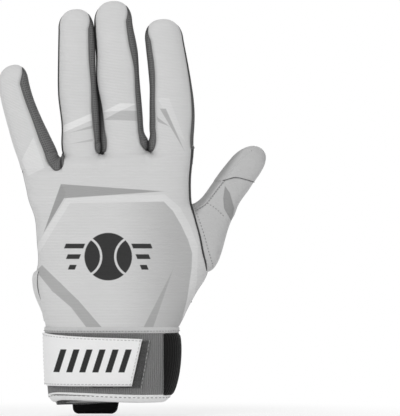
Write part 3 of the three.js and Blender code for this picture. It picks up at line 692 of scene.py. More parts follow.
stallSizes = {
    "little": {
        "length": 60.5, "dome": 9.6, "depths": (18, 14),
        "widths": [(-3, 22.8), (0, 22.8), (5.5, 22.8), (16.5, 21.7), (26.4, 20), (41, 18.2), (52, 17.6)],
        "bow": [(-3, -0.6), (0, -0.6), (5.5, -0.6), (16.5, -1.8), (26.4, -2.7), (41, -3.4), (50, -3),
                (60.5, -1.5)],
        "leftSeam": None,
        "rightSeam": [(-3, 0.6), (0, 0.5), (2, 0.42), (4, 0.4), (11, 0.4), (30, 0.5), (49, 0.44),
                      (60.5, 0.36)],
        "rightSwell": [(-3, 0), (60.5, 0)],
    },
    "ring": {
        "length": 82.5, "dome": 10.6, "depths": (18.4, 15),
        "widths": [(-3, 20.8), (0, 20.8), (3, 21.2), (6, 21.2), (14.5, 20.5), (34, 21.3), (56, 20.8),
                   (71, 20)],
        "bow": [(-3, -0.4), (0, -0.4), (3, -0.6), (6, -0.7), (14.5, -0.5), (34, -1.3), (56, -0.7),
                (82.5, 0.2)],
        "leftSeam": [(-3, 0.95), (82.5, 0.95)],
        "rightSeam": [(-3, 0.97), (0, 0.95), (1.5, 0.89), (3.5, 0.86), (8, 0.84), (15, 0.79), (24, 0.77),
                      (36, 0.82), (55, 0.72), (71, 0.74), (82.5, 0.78)],
        "leftSwell": [(-3, 0), (82.5, 0)],
        "rightSwell": [(-3, 0.6), (0, 1.33), (3, 1.45), (10, 1.52), (20, 1.63), (30, 1.5), (36, 1.12),
                       (43, 0.8), (50, 0.69), (60, 0.76), (70, 0.5), (76, 0)],
    },
    "middle": {
        "length": 85.8, "dome": 11.4, "depths": (18.8, 15.4),
        "widths": [(-3, 24.4), (0, 24.2), (7, 24.2), (13, 23.8), (25, 23.2), (41, 23.9), (57, 23.2),
                   (73, 21.6)],
        "bow": [(-3, 0.6), (0, 0.6), (7, 0.8), (13, 0.7), (25, 0.6), (41, -0.2), (57, 0.3), (72, -0.6),
                (85.8, -0.2)],
        "leftSeam": [(-3, 0.97), (0, 0.945), (1.5, 0.89), (3, 0.87), (8, 0.86), (12, 0.91), (18, 0.945),
                     (85.8, 0.955)],
        "rightSeam": [(-3, 0.98), (0, 0.96), (1.5, 0.88), (3.2, 0.81), (5.5, 0.75), (9, 0.715), (15, 0.73),
                      (30, 0.77), (46, 0.82), (59, 0.66), (72, 0.7), (85.8, 0.76)],
        "leftSwell": [(-3, 0.6), (0, 1.24), (3, 1.35), (10, 1.4), (20, 1.5), (30, 1.38), (36, 1.0),
                      (43, 0.73), (50, 0.64), (60, 0.68), (70, 0.44), (76, 0)],
        "rightSwell": [(-3, 0.8), (0, 1.5), (4, 1.55), (6, 1.35), (7.6, 0.5), (9.5, -0.35), (13, -0.55),
                       (18, -0.2), (24, 0), (85.8, 0)],
    },
    "index": {
        "length": 75.0, "dome": 11.2, "depths": (18.8, 15.4),
        "widths": [(-3, 24.2), (0, 24.3), (6, 24.8), (12, 26), (20, 26), (27, 25.4), (36, 24), (47, 23),
                   (63, 21.8)],
        "bow": [(-3, -0.3), (0, -0.3), (6, -0.1), (12, 0.2), (20, 1.0), (27, 1.4), (36, 1.6), (47, 1.1),
                (62, 0), (75, -0.7)],
        "leftSeam": [(-3, 0.98), (0, 0.96), (1.5, 0.88), (3.2, 0.81), (5.5, 0.755), (9, 0.72), (14, 0.73),
                     (33, 0.78), (48, 0.71), (60, 0.72), (75, 0.76)],
        "rightSeam": [(-3, 0.93), (0, 0.9), (20, 0.9), (40, 0.94), (60, 0.965), (75, 0.97)],
        "leftSwell": [(-3, 0.8), (0, 1.5), (4, 1.55), (6, 1.35), (7.6, 0.5), (9.5, -0.25), (13, -0.4),
                      (18, -0.2), (24, 0), (75, 0)],
        "rightSwell": [(-3, 0), (75, 0)],
    },
    "thumb": {
        "length": 34.0, "dome": 15.0, "depths": (18.4, 16),
        "widths": [(-10, 22.4), (-5, 20.8), (0, 19.5), (11, 19.2), (19, 18.4)],
        "bow": [(-10, 0.9), (-5, 0.6), (0, 0), (11, 0), (20, 0.2), (34, 1.6)],
        "leftSeam": None,
        "rightSeam": None,
    },
}
section = {
    "power": 2.4,        # of the stalls' superellipse sections
    "palmAngle": 22,     # how far the gussets reach round to the palm, in degrees
    "tipFlat": 0.05,     # width left at the very tip, as a share
    "tuck": 0.42,        # how far a seam is drawn in
    "tuckReach": 0.85,
    "wall": 0.9,
    "columns": 34,
    "gussetColumns": 12,
}


def stallOf(name):
    # A stall's axes come from its joints: it runs from the root joint through the fold joint
    stall = dict(stallSizes[name], name=name)
    fold = joints[name + "_fold_bend"]
    spot = np.array([fold["pos_m"][0], 0, fold["pos_m"][2]]) / mm
    if name == "thumb":
        stall["root"], stall["fold"] = spot, 0.0
        stall["along"] = np.array([fold["axis"][2], 0, -fold["axis"][0]])
        stall["slope"] = 0.0
    else:
        pos = joints[name + "_root_bend"]["pos_m"]
        stall["root"] = np.array([pos[0], 0, pos[2]]) / mm
        stall["fold"] = float(np.linalg.norm(spot - stall["root"]))
        stall["along"] = unit(spot - stall["root"])
    stall["across"] = np.array([stall["along"][2], 0, -stall["along"][0]])
    hinge = np.array([fold["axis"][2], 0, -fold["axis"][0]])
    stall["hinge"] = hinge
    stall["slope"] = float(-(stall["across"] @ hinge) / (stall["along"] @ hinge))
    return stall


stalls = {name: stallOf(name) for name in stallSizes}
fingers = ["little", "ring", "middle", "index"]


def seamAngle(stall, side, at):
    # Degrees from the stall's side to its back seam; it closes towards the tip
    table = stall[side + "Seam"]
    if table is None:
        return np.zeros_like(at)
    share = curve(table, at)
    angle = np.degrees(np.arccos(np.clip(share, 0, 1) ** (section["power"] / 2)))
    end = stall["length"] - 0.25 * stall["dome"]
    return angle * np.sqrt(np.clip((end - at) / 9, 0, 1))


def palmAngle(stall, side, at):
    if stall[side + "Seam"] is None:
        return np.zeros_like(at)
    end = stall["length"] - 0.25 * stall["dome"]
    close = np.sqrt(np.clip((end - at) / 9, 0, 1))
    return section["palmAngle"] * close * (0.35 + 0.65 * smooth(-0.5, 3.5, at))


def stallGrid(stall, at, turn, angle, edges=True, proud=0.0):
    # A superellipse section at each place along the stall, shrinking over the dome at its tip; the sides of
    # the sheet are drawn in where they are sewn
    start = stall["length"] - stall["dome"]
    if at.ndim == 1:
        at, turn = at[:, None], turn[:, None]
    narrow = section["tipFlat"] + (1 - section["tipFlat"]) * np.abs(np.cos(turn)) ** 0.92
    thin = np.abs(np.cos(turn)) ** 0.85
    width = curve(stall["widths"], np.minimum(at, start)) / 2 * narrow + proud
    depth = mix(*stall["depths"], np.clip(at, 0, None) / stall["length"]) / 2 * thin + proud
    offset = width * rounded(np.cos(angle), section["power"])
    y = depth * rounded(np.sin(angle), section["power"])
    if edges:
        steps = np.hypot(np.diff(offset, axis=1), np.diff(y, axis=1))
        arc = np.concatenate([np.zeros((len(offset), 1)), np.cumsum(steps, 1)], 1)
        edge = np.minimum(arc, arc[:, -1:] - arc)
        draw = 1 - section["tuck"] * np.exp(-((edge / section["tuckReach"]) ** 2)) / np.maximum(width, 3)
        offset, y = offset * draw, y * draw
    flatten = 1 - smooth(0, 0.4 * max(stall["fold"], 1), at)
    place = at + proud * np.sin(turn) + offset * stall["slope"] * flatten
    bow = curve(stall["bow"], at)
    points = stall["root"] + place[..., None] * stall["along"] + (offset + bow)[..., None] * stall["across"]
    points[..., 1] = y
    return points


def stationsOf(stall, low, high, pitch=1.1):
    # Places along a stall and how far its dome has turned: even steps, then even turns over the dome
    start = stall["length"] - stall["dome"]
    straight = min(high, start)
    at = np.linspace(low, straight, max(3, int((straight - low) / pitch)))
    turn = np.zeros_like(at)
    if high > start:
        turns = np.linspace(0, np.pi * 0.492, 22)[1:]
        at = np.concatenate([at, start + stall["dome"] * np.sin(turns)])
        turn = np.concatenate([turn, turns])
    return at, turn


def columnsOf(count):
    # Places from 0 to 1 that stand closer together near both ends
    return (1 - np.cos(np.linspace(0, np.pi, count))) / 2


def sheetAngles(stall, kind, at):
    leftBack, rightBack = seamAngle(stall, "left", at), seamAngle(stall, "right", at)
    leftPalm, rightPalm = palmAngle(stall, "left", at), palmAngle(stall, "right", at)
    low, high = {
        "back": (180 + leftBack, 360 - rightBack),
        "palm": (rightPalm, 180 - leftPalm),
        "left": (180 - leftPalm, 180 + leftBack),
        "right": (-rightBack, rightPalm),
    }[kind]
    share = columnsOf(section["columns"] if kind in ("back", "palm") else section["gussetColumns"])
    return np.radians(low[:, None] + (high - low)[:, None] * share)


def zonesOf(stall):
    # The two stretches of a stall that bend: at its root and at its fold
    if stall["name"] == "thumb":
        seam = joints["thumb_root_bend"]
        middle = np.array([seam["pos_m"][0], 0, seam["pos_m"][2]]) / mm
        outwards = np.array([seam["axis"][2], 0, -seam["axis"][0]])
        fold = (stall["root"] - 5 * stall["along"], stall["root"] + 9 * stall["along"])
        return (middle, middle + thumbZone * outwards), fold
    hinge, fold = stall["hinge"], stall["fold"]
    middle = stall["root"] + fold * stall["along"]
    reach = fold * hinge
    root = (stall["root"], stall["root"] + 0.4 * reach)
    return root, (middle - 0.4 * reach, middle + 0.45 * reach)


thumbZone = 5.5
thumbSplit = -6.0


def makeStall(stall):
    # Each stall is split half way to its fold, where both bends leave it stiff
    name = stall["name"]
    split = 0.5 * stall["fold"] if name != "thumb" else thumbSplit
    rootZone, foldZone = zonesOf(stall)
    lengths = [("end", split, stall["length"], (f"{name}_base", f"{name}_end"), foldZone)]
    if name != "thumb":
        lengths.append(("base", 0.0, split, ("hand", f"{name}_base"), rootZone))
    leatherFinish = finishes["thumb"] if name == "thumb" else finishes["leather"]
    for part, low, high, bodies, zone in lengths:
        at, turn = stationsOf(stall, low, high)
        sheets = [("back", "knit" if name != "thumb" else "leather", ""), ("palm", "leather", "")]
        sheets += [(side, "mesh", f"mesh_{side}") for side in ("left", "right") if stall[side + "Seam"]]
        for kind, slot, node in sheets:
            rows = slice(None)
            if slot == "mesh" and part == "end":
                rows = at < stall["length"] - 0.26 * stall["dome"]
            places, turns = at[rows], turn[rows]
            grid = stallGrid(stall, places, turns, sheetAngles(stall, kind, places))
            if kind == "palm" and name != "thumb":
                crease = 0.75 * np.exp(-(((places - stall["fold"]) / 1.3) ** 2))
                crease += 0.4 * np.exp(-(((places - stall["fold"] - 24) / 1.2) ** 2))
                grid[..., 1] -= crease[:, None] * smooth(0, 5, grid[..., 1])
            if slot == "mesh":
                swell = curve(stall[kind + "Swell"], places)[:, None]
                puff = swell * np.sin(np.pi * columnsOf(grid.shape[1]))
                grid += puff[..., None] * stall["across"] * (1 if kind == "right" else -1)
            finish = {"knit": finishes["knit"], "mesh": finishes["mesh"]}.get(slot, leatherFinish)
            along = np.repeat(places[:, None], grid.shape[1], 1) + stall["root"][2]
            core = stall["root"] + places[:, None, None] * stall["along"] * np.ones((1, grid.shape[1], 1))
            piece = shell(f"{name}_{part}_{kind}_sheet", grid, section["wall"], finish,
                          core=core, along=along)
            replaced = f"{name}_{part}_{node or kind}"
            replaced = [replaced] if replaced in frame["nodes"] else []
            if name == "thumb" and kind == "back":
                replaced.append("thumb_end_mesh_right")
            follow(piece, slot if slot != "leather" else "leather", bodies, replaced, zone)


# The hand: one height over its outline for the back and one for the palm, which runs into the stalls'
# sections

handSizes = {
    "depth": 34.0,
    "backFoot": 42.9,
    "palmFoot": 39.5,
    "columns": 13,
    "pitch": 1.0,
    "mergeReach": 18.0,   # how far below the stalls the hand takes on their sections
    "valleyReach": 4.0,   # how far a crotch's valley reaches down
    "tops": (134.5, 142.8),      # the stalls' roots, of the little finger and of the rest
    "topShares": (0.1, 0.34),    # where across the hand the one goes over into the other
    "mouthReach": 9.0,    # how far the hand's round goes on into the thumb
    "wall": 1.0,
}
handOutline = {
    "left": [(36, -35.4), (42.9, -35.5), (49.6, -36.9), (58.1, -38.9), (64, -40.6), (73.5, -40.6),
             (79, -39.6), (91.2, -40.2), (106.4, -41.8), (115, -44.9), (122, -46.4), (131, -48.4),
             (138, -49.4)],
    "right": [(36, 39.5), (42.9, 40.3), (48, 42.8), (52.4, 44.8), (58.2, 47.8), (64, 51.1), (69.3, 54.6),
              (74, 56.6), (78, 56.4), (84.4, 54.9), (94.8, 52.8), (104, 50.3), (112.9, 47.9), (120, 47.4),
              (128.8, 47.5), (136, 48.2), (146, 49.0)],
    "depthShares": [(36, 0.5), (42.9, 0.5), (72.9, 0.48), (102.9, 0.44), (124.9, 0.38), (143, 0.315)],
}
thumbSeam = {"top": 112.9, "foot": 74.0}


def rootRow():
    # The hand's top edge: each stall's whole section where it meets the hand, with a short step between two
    places, heights, backs, palms = [], [], [], []
    for name in fingers:
        stall = stalls[name]
        zero = np.zeros(1)
        rows = {
            side: stallGrid(stall, zero, zero, np.radians(np.linspace(180, end, 61))[None], edges=False)[0]
            for side, end in (("back", 360), ("palm", 0))
        }
        places.append(rows["back"][:, 0])
        heights.append(rows["back"][:, 2])
        backs.append(np.abs(rows["back"][:, 1]))
        palms.append(np.abs(rows["palm"][:, 1]))
    return [np.concatenate(part) for part in (places, heights, backs, palms)]


rootX, rootZ, rootBack, rootPalm = rootRow()
order = np.argsort(rootX, kind="stable")
rootX, rootZ, rootBack, rootPalm = (part[order] for part in (rootX, rootZ, rootBack, rootPalm))


def leftEdge(z):
    return curve(handOutline["left"], z)


def rightEdge(z):
    return curve(handOutline["right"], z)


rootX = rootX + section["tuck"] * np.exp(-(((rootX - rootX[0]) / 0.9) ** 2))
rootX = rootX - section["tuck"] * np.exp(-(((rootX - rootX[-1]) / 0.9) ** 2))
rootLeft, rootRight = leftEdge(rootZ), rightEdge(rootZ)
rootShare = (rootX - rootLeft) / (rootRight - rootLeft)
rootShare = (rootShare - rootShare[0]) / (rootShare[-1] - rootShare[0])


def handHeight(x, z, side):
    # Half depth of the hand at a place: a superellipse over its outline, blended into the stalls' sections
    left, right = leftEdge(z), rightEdge(z)
    share = (x - left) / (right - left)
    part = np.clip((z - thumbSeam["foot"]) / (thumbSeam["top"] - thumbSeam["foot"]), 0, 1)
    reach = handSizes["mouthReach"] * np.sin(part * np.pi)
    half = (right + reach - left) / 2
    power = mix(2.5, 3, smooth(handSizes["backFoot"], 56, z))
    across = np.clip((x - left - half) / half, -1, 1)
    depth = handSizes["depth"] * curve(handOutline["depthShares"], z)
    trunk = depth * np.maximum(0, 1 - np.abs(across) ** power) ** (1 / power)
    top = np.interp(share, rootShare, rootZ)
    stallHeight = np.interp(share, rootShare, rootBack if side < 0 else rootPalm)
    valley = trunk * 0.86 * smooth(0, handSizes["valleyReach"], top - z)
    merged = (stallHeight ** 4 + valley ** 4) ** 0.25
    softTop = mix(*handSizes["tops"], smooth(*handSizes["topShares"], share))
    return mix(merged, trunk, smooth(0, handSizes["mergeReach"], softTop - z))


def onHand(x, z, side, lift=0.0):
    # Points on the hand's skin at these places, lifted along its normal
    x, z = np.asarray(x, float), np.asarray(z, float)
    y = handHeight(x, z, side)
    slopeX = (handHeight(x + 0.4, z, side) - handHeight(x - 0.4, z, side)) / 0.8
    slopeZ = (handHeight(x, z + 0.4, side) - handHeight(x, z - 0.4, side)) / 0.8
    slopeX, slopeZ = np.clip(slopeX, -3, 3), np.clip(slopeZ, -3, 3)
    normals = unit(np.stack([-slopeX, np.ones_like(y), -slopeZ], -1)) * [1, side, 1]
    return np.stack([x, y * side, z], -1) + normals * lift, normals


# Soft folds of the palm's leather: the ends of each as x and z, its half width and its depth
palmFolds = [
    ((-48, 122), (-33, 117), 1.5, 0.75),
    ((-46, 113), (-32, 110.5), 1.3, 0.7),
    ((-45, 103), (-35, 102.5), 1.3, 0.55),
    ((49, 110), (41, 84), 4.0, 1.1),
    ((-32, 63), (-6, 58), 2.4, 0.55),
    ((8, 55), (30, 60), 2.4, 0.5),
    ((-40, 80), (-20, 75), 1.8, 0.45),
    ((34, 72), (46, 66), 2.0, 0.5),
    ((-14, 134), (-2, 133), 1.4, 0.4),
]


# Furrows along segments: depth times exp(-(distance / width)^2)
def furrows(folds, x, z):
    total = 0
    for (x0, z0), (x1, z1), width, depth in folds:
        span = np.array([x1 - x0, z1 - z0], float)
        share = np.clip(((x - x0) * span[0] + (z - z0) * span[1]) / (span @ span), 0, 1)
        away = np.hypot(x - x0 - share * span[0], z - z0 - share * span[1])
        fade = np.sin(np.pi * np.clip(share, 0.12, 0.88)) ** 0.5
        total = total + depth * np.exp(-((away / width) ** 2)) * fade
    return total


def handGrid(side):
    foot = handSizes["backFoot"] if side < 0 else handSizes["palmFoot"]
    rows = int((rootZ.max() - foot) / handSizes["pitch"])
    t = np.linspace(0, 1, rows)[:, None]
    z = mix(foot, rootZ[None], t)
    left, right = leftEdge(z), rightEdge(z)
    x = left + rootShare * (right - left)
    x = mix(x, np.broadcast_to(rootX, x.shape), smooth(0.97, 1.0, t))
    y = handHeight(x, z, side)
    y = np.where(t >= 1, np.broadcast_to(rootBack if side < 0 else rootPalm, y.shape), y)
    if side > 0:
        y = y - furrows(palmFolds, x, z) * smooth(0, 6, y)
    return np.stack([x, side * y, z], -1)


def makeHand():
    for side, name, slot in ((-1, "hand_back", "knit"), (1, "hand_palm", "leather")):
        grid = handGrid(side)
        along = grid[..., 2]
        piece = shell(name + "_sheet", grid, handSizes["wall"], finishes[slot], along=along, level=True)
        follow(piece, slot, "hand", [name])


# Where two gussets meet, a saddle of mesh: the U of their back seams and the deepest line between them, both
# in pixels of the photograph, one point of each for the other
crotches = {
    "little_ring": {
        "seam": [(44.6, 152), (47.3, 160.5), (50.7, 166.4), (53.6, 169.7), (56.8, 171), (60.6, 169.6),
                 (63.6, 165.4), (64.6, 158.5), (64.4, 152)],
        "floor": [(55.4, 149), (57.3, 152.6), (58.6, 155.1), (59.6, 156.5), (60.4, 157), (61.1, 156.5),
                  (61.8, 154.9), (62.5, 152), (63.2, 149)],
    },
    "ring_middle": {
        "seam": [(95.6, 144.5), (96.1, 148.6), (97.2, 151.8), (99.1, 154.1), (101.6, 155), (104.2, 153.9),
                 (105.7, 151.5), (106.2, 148), (106.3, 144)],
        "floor": [(101.0, 139), (101.1, 142.5), (101.2, 146), (101.3, 148.6), (101.4, 149.6),
                  (101.5, 148.6), (101.6, 146), (101.7, 142.5), (101.8, 139)],
    },
    "middle_index": {
        "seam": [(139.8, 139), (141.5, 143.9), (143.5, 147.3), (146, 150.4), (149.4, 151.9), (152.8, 150.2),
                 (154.4, 146.6), (155.5, 142), (156.1, 137.5)],
        "floor": [(147.3, 138.2), (147.4, 140.5), (147.5, 143), (147.6, 145.2), (147.8, 146.2),
                  (148, 145.2), (148.1, 143), (148.2, 140.5), (148.3, 138.2)],
    },
}
saddle = {"lift": 0.3, "palmDepth": 4.6, "palmShare": 0.3, "wall": 0.8, "power": 2.4}


# A saddle: at each place along the U a quarter superellipse climbs from the seam on the hand's back down
# to the floor between the gussets, and a narrower one goes on to the palm
def makeCrotches():
    for name, crotch in crotches.items():
        ends = np.linspace(0, 1, len(crotch["seam"]))
        along = np.linspace(0, 1, 70)
        seam, floor = (
            np.stack([curve(np.stack([ends, line[:, k]], 1), along) for k in (0, 1)], 1)
            for line in (fromPhoto(crotch["seam"]), fromPhoto(crotch["floor"]))
        )
        end = smooth(0.72, 1, np.abs(2 * along - 1))[:, None]
        floor = mix(floor, seam, 0.4 * end)
        angle = np.linspace(-np.pi / 2, np.pi / 2, 33)
        share = rounded(np.cos(angle), saddle["power"])
        share = np.where(angle < 0, share, 1 - (1 - share) * saddle["palmShare"])
        x, z = (mix(seam[:, None, k], floor[:, None, k], share[None]) for k in (0, 1))
        rise = np.abs(rounded(np.sin(angle), saddle["power"]))[None]
        back = handHeight(seam[:, 0], seam[:, 1], -1)[:, None] + saddle["lift"] - 0.9 * end
        skin = (handHeight(x, z, -1) + saddle["lift"] - 0.9 * end) * smooth(0.95, 0.7, share)[None]
        palm = saddle["palmDepth"] * rise * (1 - 0.95 * end)
        y = np.where(angle < 0, -np.maximum(back * rise, skin), palm)
        core = np.stack([seam[:, None, 0] + 0 * x, 0 * x, seam[:, None, 1] + 0 * x], -1)
        grid = np.stack([x, y, z], -1)
        piece = shell(f"web_{name}_mesh", grid, saddle["wall"], finishes["mesh"], core=core)
        follow(piece, "mesh", "hand", [f"web_{name}"])


# The outer gusset of the index finger runs out in a point over the hand's side seam
gussetFoot = {
    "low": -9.0, "high": 2.6, "proud": 0.55, "sunk": -0.35, "wall": 0.6, "rows": 30, "palmFrom": 2.2,
}


def makeGussetFoot():
    foot, stall = gussetFoot, stalls["index"]
    at = np.linspace(foot["low"], foot["high"], foot["rows"])
    low, high = -seamAngle(stall, "right", at), palmAngle(stall, "right", np.maximum(at, foot["palmFrom"]))
    spread = smooth(foot["low"] - 1.5, 0, at)[:, None]
    share = columnsOf(section["gussetColumns"])
    angles = np.radians(low[:, None] * spread + (high - low)[:, None] * spread * share)
    proud = mix(foot["proud"], foot["sunk"], smooth(0.6, foot["high"], at))[:, None]
    grid = stallGrid(stall, at, 0 * at, angles, proud=proud)
    bound = rightEdge(grid[..., 2]) + proud - section["tuck"]
    grid[..., 0] = np.where(at[:, None] < 0, np.minimum(grid[..., 0], bound), grid[..., 0])
    core = stall["root"] + at[:, None, None] * stall["along"] * np.ones((1, grid.shape[1], 1))
    piece = shell("index_gusset_foot", grid, foot["wall"], finishes["mesh"], core=core)
    follow(piece, "mesh", ("hand", "index_base"), [], zonesOf(stall)[0])


# The thumb's root: from the hand's open side to the thumb's section

def thumbRootGrid(side):
    # Curves that leave the hand square to the seam and arrive along the thumb
    stall = stalls["thumb"]
    w = columnsOf(section["columns"] + 6)
    z = mix(thumbSeam["top"], thumbSeam["foot"], w)
    x = rightEdge(z)
    start = np.stack([x, side * handHeight(x, z, side), z], -1)
    at, turn = np.array([thumbSplit]), np.zeros(1)
    turnAngles = np.pi * (1 - np.linspace(0, 1, len(w)))
    angle = turnAngles if side > 0 else 2 * np.pi - turnAngles
    end = stallGrid(stall, at, turn, angle[None])[0]
    seam = joints["thumb_root_bend"]["axis"]
    outwards = np.array([seam[2], 0, -seam[0]])
    reach = np.linalg.norm(end - start, axis=1)[:, None]
    t = np.linspace(0, 1, 24)[:, None, None]
    h0, h1 = (1 + 2 * t) * (1 - t) ** 2, t * t * (3 - 2 * t)
    k0, k1 = t * (1 - t) ** 2, t * t * (t - 1)
    return h0 * start + h1 * end + (k0 * outwards * 0.8 + k1 * stall["along"] * 0.9) * reach


# Places read off a surface: the mean of its nearest points in x and z, with the outward normal
def drape(grid, path, side, lift=0.0):
    points = grid.reshape(-1, 3)
    normals = normalsOf(grid, grid * [1, 0, 1])[0].reshape(-1, 3)
    gaps = np.linalg.norm(points[None, :, [0, 2]] - np.asarray(path)[:, None], axis=2)
    near = np.argsort(gaps, axis=1)[:, :5]
    weights = 1 / (np.take_along_axis(gaps, near, 1) + 0.05) ** 2
    weights = (weights / weights.sum(1, keepdims=True))[..., None]
    y = (points[near] * weights).sum(1)[:, 1]
    normal = unit((normals[near] * weights).sum(1))
    return np.stack([path[:, 0], y, path[:, 1]], 1) + normal * lift, normal


thumbSewing = {
    "seam": [(-15.2, -8.7), (-12, -7.2), (-9.5, -6.3), (-4, -6.0), (0.3, -5.9), (7.8, -5.5), (16.5, -4.6),
             (25, -3.6), (30, -1.8)],
    "capEdge": [(-10, 3.5), (-5.1, 7), (-1.25, 11.9), (3.4, 14.3), (9.6, 16.3)],
    "capProud": 0.45,
    "seamRadius": 0.6,
}


def onThumb(places):
    stall = stalls["thumb"]
    places = np.array(places, float)
    spots = stall["root"] + places[:, :1] * stall["along"] + places[:, 1:] * stall["across"]
    return spots[:, [0, 2]]


def makeThumb():
    stall = stalls["thumb"]
    rootZone, foldZone = zonesOf(stall)
    base, tip = ("hand", "thumb_base"), ("thumb_base", "thumb_end")
    for side, kind in ((-1, "back"), (1, "palm")):
        piece = shell(f"thumb_base_{kind}_sheet", thumbRootGrid(side), 1.0, finishes["thumb"])
        follow(piece, "leather", base, [f"thumb_base_{kind}"], rootZone)
    makeStall(stall)

    # The tip's cap: a second layer whose lower edge is a slanted arch
    angle = np.linspace(np.pi, 2 * np.pi, 40)
    offset = 9.6 * rounded(np.cos(angle), section["power"])
    low = curve(thumbSewing["capEdge"], offset)
    start = stall["length"] - stall["dome"]
    share = np.linspace(0, 1, 34)[:, None]
    at = mix(low, stall["length"], np.sin(share * np.pi / 2))
    turn = np.arcsin(np.clip((at - start) / stall["dome"], 0, 0.999))
    proud = thumbSewing["capProud"] * np.clip(-np.sin(angle), 0, 1) ** 0.5
    grid = stallGrid(stall, at, turn, np.broadcast_to(angle, at.shape), False, proud)
    core = stall["root"] + at[..., None] * stall["along"]
    along = at + stall["root"][2]
    piece = shell("thumb_cap_back_sheet", grid, 0.5, finishes["thumb"], core=core, along=along)
    follow(piece, "leather", tip, (), foldZone)
    # A grey roll along the cap's lower edge: a painted shadow line under the overlapping edge
    edge = grid[0] + unit(grid[0] - core[0]) * 0.02
    edge, up = edge[13:-1], unit(grid[0] - core[0])[13:-1]
    piece = roll("thumb_cap_edge_painted_shadow", edge, 0.24, up, finishes["greySeamAndPaintedShadowRoll"])
    follow(piece, "leather", tip, (), foldZone)

    # The rolled seam along the upper edge of the thumb, with its stitches, cut where the sheets change
    at, turn = stationsOf(stall, thumbSplit, stall["length"])
    halfRound = np.broadcast_to(np.linspace(np.pi, 2 * np.pi, 40), (len(at), 40))
    ends = stallGrid(stall, at, turn, halfRound, False)
    places = spaced(onThumb(thumbSewing["seam"]), 0.8)
    along = (places - stall["root"][[0, 2]]) @ stall["along"][[0, 2]]
    for key, part, surface, bodies, zone in (
        ("base", along < thumbSplit + 0.9, thumbRootGrid(-1), base, rootZone),
        ("tip", along > thumbSplit - 0.1, ends, tip, foldZone),
    ):
        path, up = drape(surface, places[part], -1, 0.2)
        piece = roll(f"thumb_seam_{key}", path, thumbSewing["seamRadius"], up, finishes["thumb"], flat=0.8)
        follow(piece, "leather", bodies, (), zone)
        shift = np.array([stall["across"][0], stall["across"][2]])
        for name, aside, finish in (("inner", 0.85, "dot"), ("row", -1.5, "stitch")):
            path, up = drape(surface, places[part] + shift * aside, -1, 0.1)
            gap = 0.6 if aside > 0 else 0.9
            row = stitches(f"thumb_{name}_{key}", path, up, finishes[finish], 1.0, gap, 0.2)
            follow(row, "leather", bodies, (), zone)

    # The row of stitches beside the hand's seam, and one across the thumb's root
    grid = thumbRootGrid(-1)
    path = grid[3, 3:-2]
    row = stitches("thumb_root_stitches", path - [0, 0.1, 0], unit(path - path * [1, 0, 1]), finishes["dot"],
                   1.0, 0.9, 0.2)
    follow(row, "leather", base, (), rootZone)
    places = spaced(fromPhoto([(207.9, 203.5), (213, 206.5), (218.5, 211), (223, 215.5)]), 0.8)
    path, up = drape(grid, places, -1, 0.1)
    row = stitches("thumb_cross_stitches", path, up, finishes["dot"], 0.9, 0.9, 0.18)
    follow(row, "leather", base, (), rootZone)


handSewing = {
    "rollRadius": 0.75,
    "rollThin": 0.5,
    "rollTop": 144.0,
    "rollFoot": 43.6,
    "foldTop": 57.6,
    "fold": [(37, 31.4), (43, 36.4), (50, 42), (56, 46.2), (60, 48.9), (63, 50.6)],   # z and x of its seam
    "tuck": [(44.5, -35.9), (49, -36.9), (53.6, -38.7), (60.8, -41.7), (67.1, -43.1), (72, -43.0),
             (75.6, -41.6)],
    "tuckFoot": 44.2,
    "tuckTop": 75.9,
    "tuckDepth": 7.5,
}


